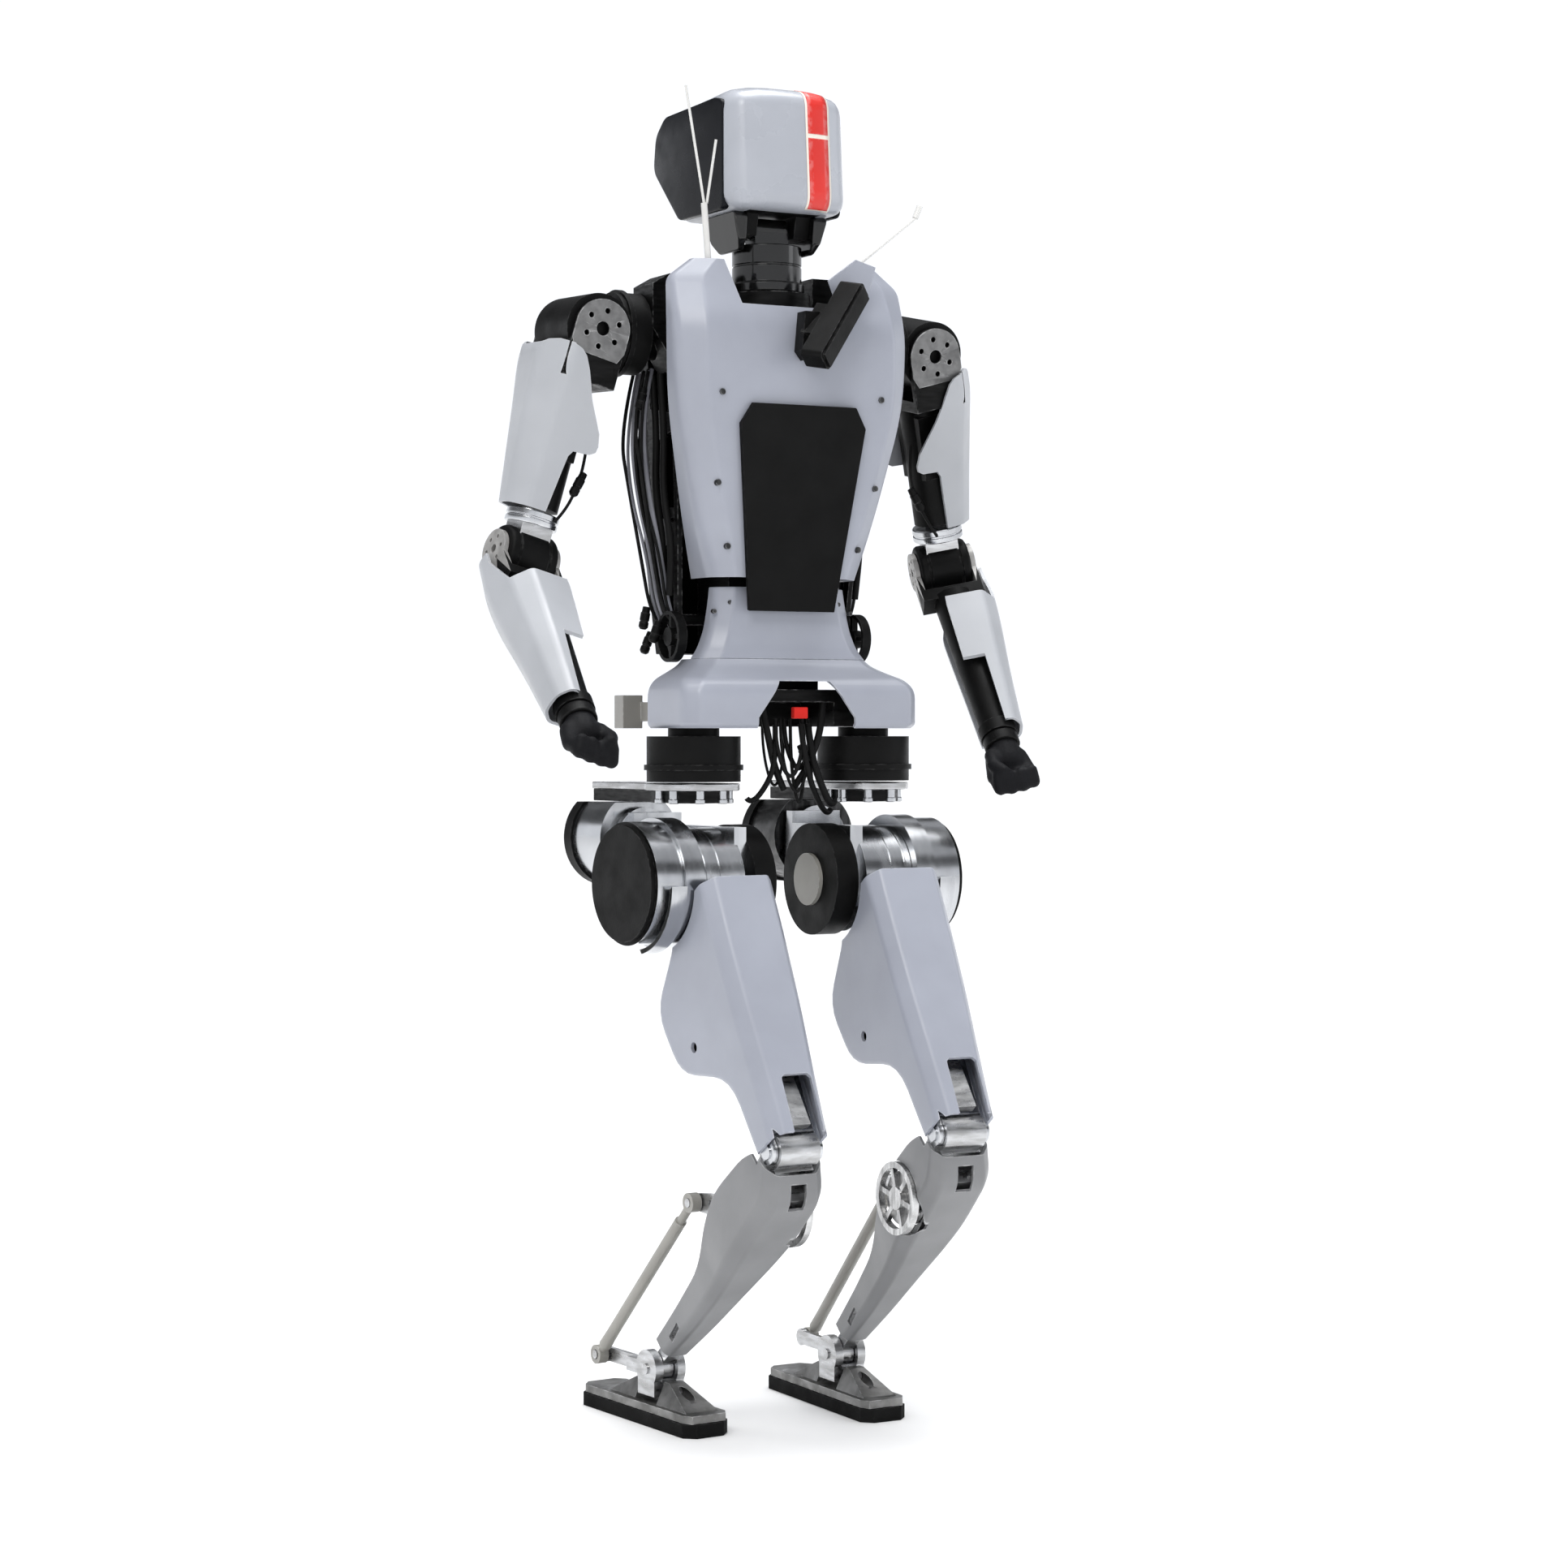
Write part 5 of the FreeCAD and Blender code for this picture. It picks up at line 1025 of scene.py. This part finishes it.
def yaw_bracket(word):
    """Lipped plate with bolt bosses under the yaw drum, run back over the roll drum."""
    node = NODES[word + "_hip_yaw_bracket"]
    inverse = LINKS[word + "_hip_yaw"].inverted() @ node.matrix_world
    heights = [(inverse @ v.co).z / MM for v in node.data.vertices]
    rears = [(inverse @ v.co).y / MM for v in node.data.vertices]
    low, high, rear = min(heights), max(heights), max(rears)
    outline = [(-45, -26), (-28, -49), (28, -49), (45, -26), (45, 30), (29, 60), (26, rear),
        (-26, rear),
        (-29, 60), (-45, 30)]
    lip = slab(outline, "z", high - 8, high)
    hole = lathe([(high - 12, 15), (high + 4, 15)], "z", (0, 0, 0), 40)
    carve(lip, hole)
    finish_piece(lip, word + "_yaw_lip", word + "_hip_yaw", BRUSHED,
        [word + "_hip_yaw_bracket"], bevel=1.2)
    core = slab([(-34, -22), (-20, -38), (20, -38), (34, -22), (34, 30), (24, 56), (24, rear),
        (-24, rear),
        (-24, 56), (-34, 30)], "z", low + 1, high - 8)
    finish_piece(core, word + "_yaw_core", word + "_hip_yaw", BLACK, bevel=0.8)
    for index in range(8):
        turn = radians(45 * index + 22.5)
        boss = lathe([(low + 0.4, 4.5), (low + 1, 6), (low + 5, 6), (low + 5.6, 5), (high - 8, 5)],
            "z",
            (39 * cos(turn), 39 * sin(turn) - 1, 0), 24)
        finish_piece(boss, "%s_yaw_boss_%d" % (word, index), word + "_hip_yaw", BRIGHT,
            bevel=0.3)


def elbow(word):
    """Bright swivel ring with bolt bosses over the black elbow motor."""
    ring = lathe([(37, 25), (37, 29), (38.4, 30), (43, 30), (43.6, 28.6), (45.4, 28.6), (46, 30),
        (51.6, 30), (53, 28.6), (53, 22)], "z", (0, 0, 0))
    finish_piece(ring, word + "_elbow_ring", word + "_elbow", BRIGHT,
        [word + "_elbow_bracket"], bevel=0.3)
    bosses = []
    for step in range(4):
        turn = radians(90 * step + 45)
        bosses.append(lathe([(20, 4.2), (38, 4.2)], "z", (22 * cos(turn), 16 * sin(turn), 0), 16))
    neck = block((-20, -18, 20), (20, 18, 37.5))
    carve(neck, *bosses, operation="UNION")
    finish_piece(neck, word + "_elbow_neck", word + "_elbow", BRUSHED, bevel=1.0)
    motor = lathe([(-31, 20), (-31, 27), (-29.6, 29.5), (-27, 31), (-21, 31), (-20.4, 29.8),
        (-18.6, 29.8),
        (-18, 31), (18, 31), (18.6, 29.8), (20.4, 29.8), (21, 31), (27, 31),
        (29.6, 29.5),
        (31, 27), (31, 20)], "x", (0, 0, 0))
    finish_piece(motor, word + "_elbow_motor", word + "_elbow", MOTOR, bevel=0.3)


for word, side in SIDES.items():
    shoulder_plates(word)
    yaw_bracket(word)
    bright_bands(word, side)
    elbow(word)


# ------------------------------------------------------------------ camera bar
def camera_face():
    """Gloss window on the camera bar and the pale pointed plate that carries it."""
    place = (Matrix.Translation((22 * MM, -92 * MM, 1246 * MM)) @ Matrix.Rotation(radians(18), 4,
        "Z")
        @ Matrix.Rotation(radians(-52), 4, "Y") @ Matrix.Rotation(radians(16), 4, "X"))
    outline = rounded([Vector((-50, -9, 0)), Vector((50, -9, 0)), Vector((50, 9, 0)),
        Vector((-50, 9, 0))], 8, 5)
    window = slab([(p.x, p.y) for p in outline], "y", -13.6, -12)
    window.data.transform(place)
    finish_piece(window, "camera_window", "torso", GLASS, bevel=0.5)
    fin = slab([(30, 1300), (66, 1326), (92, 1319), (84, 1290), (62, 1268), (44, 1266)], "y", -60,
        -57.6)
    finish_piece(fin, "camera_bracket", "torso", COVER, bevel=0.6)


camera_face()


# ------------------------------------------------------------------ wires
def wire(name, points, radius, body, material):
    """A smooth sheathed lead through a list of points in millimetres."""
    curve = bpy.data.curves.new(name, "CURVE")
    curve.dimensions = "3D"
    curve.bevel_depth = radius * MM
    curve.bevel_resolution = 3
    curve.resolution_u = 10
    curve.use_fill_caps = True
    line = curve.splines.new("NURBS")
    line.points.add(len(points) - 1)
    for point, here in zip(line.points, points):
        point.co = (LINKS[body] @ (Vector(here) * MM)).to_4d()
    line.order_u = 3
    line.use_endpoint_u = True
    curve.materials.append(material)
    made = add_object(name, curve)
    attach(made, body)


def plug(name, place, toward, length, radius, body):
    """An inline connector: a short ribbed barrel along a direction."""
    half = length / 2
    barrel = lathe([(-half, radius * 0.5), (-half, radius * 0.8), (-half * 0.5, radius * 0.85),
        (-half * 0.46, radius), (half * 0.2, radius), (half * 0.24, radius * 0.86),
        (half * 0.34, radius * 0.86), (half * 0.38, radius), (half * 0.8, radius),
        (half, radius * 0.6)], "z", (0, 0, 0), 20)
    turn = Vector(toward).to_track_quat("Z", "Y").to_matrix().to_4x4()
    barrel.data.transform(Matrix.Translation(Vector(place) * MM) @ turn)
    finish_piece(barrel, name, body, MOTOR, bevel=0.3)


def flank_wires(word, side):
    for index in range(10):
        out, back = random.random(), random.random()
        sway = random.uniform(-6, 6)
        points = [(side * (132 + 14 * out), 52 + 42 * back, 1204 - 8 * out),
            (side * (150 + 12 * out), 44 + 50 * back + sway, 1150 - 20 * back),
            (side * (140 + 14 * out), 44 + 48 * back - sway, 1070 + 12 * sway / 6),
            (side * (126 + 12 * out), 42 + 46 * back + sway, 990),
            (side * (118 + 8 * out), 40 + 44 * back, 930 - 12 * out),
            (side * (104 + 6 * out), 40 + 40 * back, 898 + 16 * out)]
        material = WIRE if index % 3 == 0 else CABLE
        wire("%s_flank_lead_%d" % (word, index), points, random.uniform(1.5, 2.9), "torso",
            material)
    for index, (place, toward) in enumerate((((128, 60, 905), (0.3, 0.1, -1)),
        ((133, 78, 921), (0.1, 0.2, -1)),
            ((124, 90, 893), (0.4, 0, -1)),
            ((150, 52, 1168), (0.2, 0.1, -1)))):
        spot_at = (side * place[0], place[1], place[2])
        plug("%s_flank_plug_%d" % (word, index), spot_at, (side * toward[0], toward[1], toward[2]),
            26, 5.5, "torso")


def tray_wires():
    for index, (left, right, low, deep) in enumerate(((-24, 10, 742, -34), (-14, 22, 722, -28),
        (-4, 28, 752, -18),
            (-30, -4, 730, -14), (2, 18, 708, -22))):
        points = [(left, deep, 806), (left - 2, deep - 3, (806 + low) / 2),
            ((left + right) / 2, deep - 6, low - 12),
            (right + 3, deep - 2, (806 + low) / 2), (right, deep, 806)]
        wire("tray_lead_%d" % index, points, (2.4, 1.8, 2.8, 1.6, 2.0)[index], "torso", CABLE)
    for index, (start, reach, sag) in enumerate((((20, -30, 800), (56, -28, 712), 18),
        ((8, -36, 800), (60, -12, 702), 30),
            ((26, -22, 800), (50, 6, 726), 8),
            ((-22, -30, 800), (-50, -14, 716), 22))):
        middle = [(a + b) / 2 for a, b in zip(start, reach)]
        points = [start, (start[0] * 1.1, start[1] - 6, start[2] - 36),
            (middle[0] * 0.8, middle[1] - 8, middle[2] - sag),
            (reach[0] * 0.9, reach[1] - 3, reach[2] - 8),
            reach]
        wire("hip_lead_%d" % index, points, (4.2, 3.4, 2.6, 3.2)[index], "torso", CABLE)
    plug("tray_plug", (14, -32, 766), (0.5, 0, -1), 22, 5, "torso")
    clip = slab([(-6, 806), (12, 806), (12, 819), (-6, 819)], "y", -46, -38)
    finish_piece(clip, "tray_red_clip", "torso", RED, bevel=1.2)


def arm_lead(word, side):
    """The lead that leaves the upper arm cover and dips to the elbow, with its inline plug."""
    body = word + "_upper_arm"
    points = [(-side * 30, -18, -104), (-side * 37, -16, -140), (-side * 33, -22, -176),
        (-side * 24, -28, -204),
        (-side * 16, -27, -219)]
    wire(word + "_arm_lead", points, 1.8, body, CABLE)
    plug(word + "_arm_plug", (-side * 34, -21, -170), (side * 0.3, -0.15, -1), 30, 5.5, body)


for word, side in SIDES.items():
    flank_wires(word, side)
    arm_lead(word, side)
tray_wires()
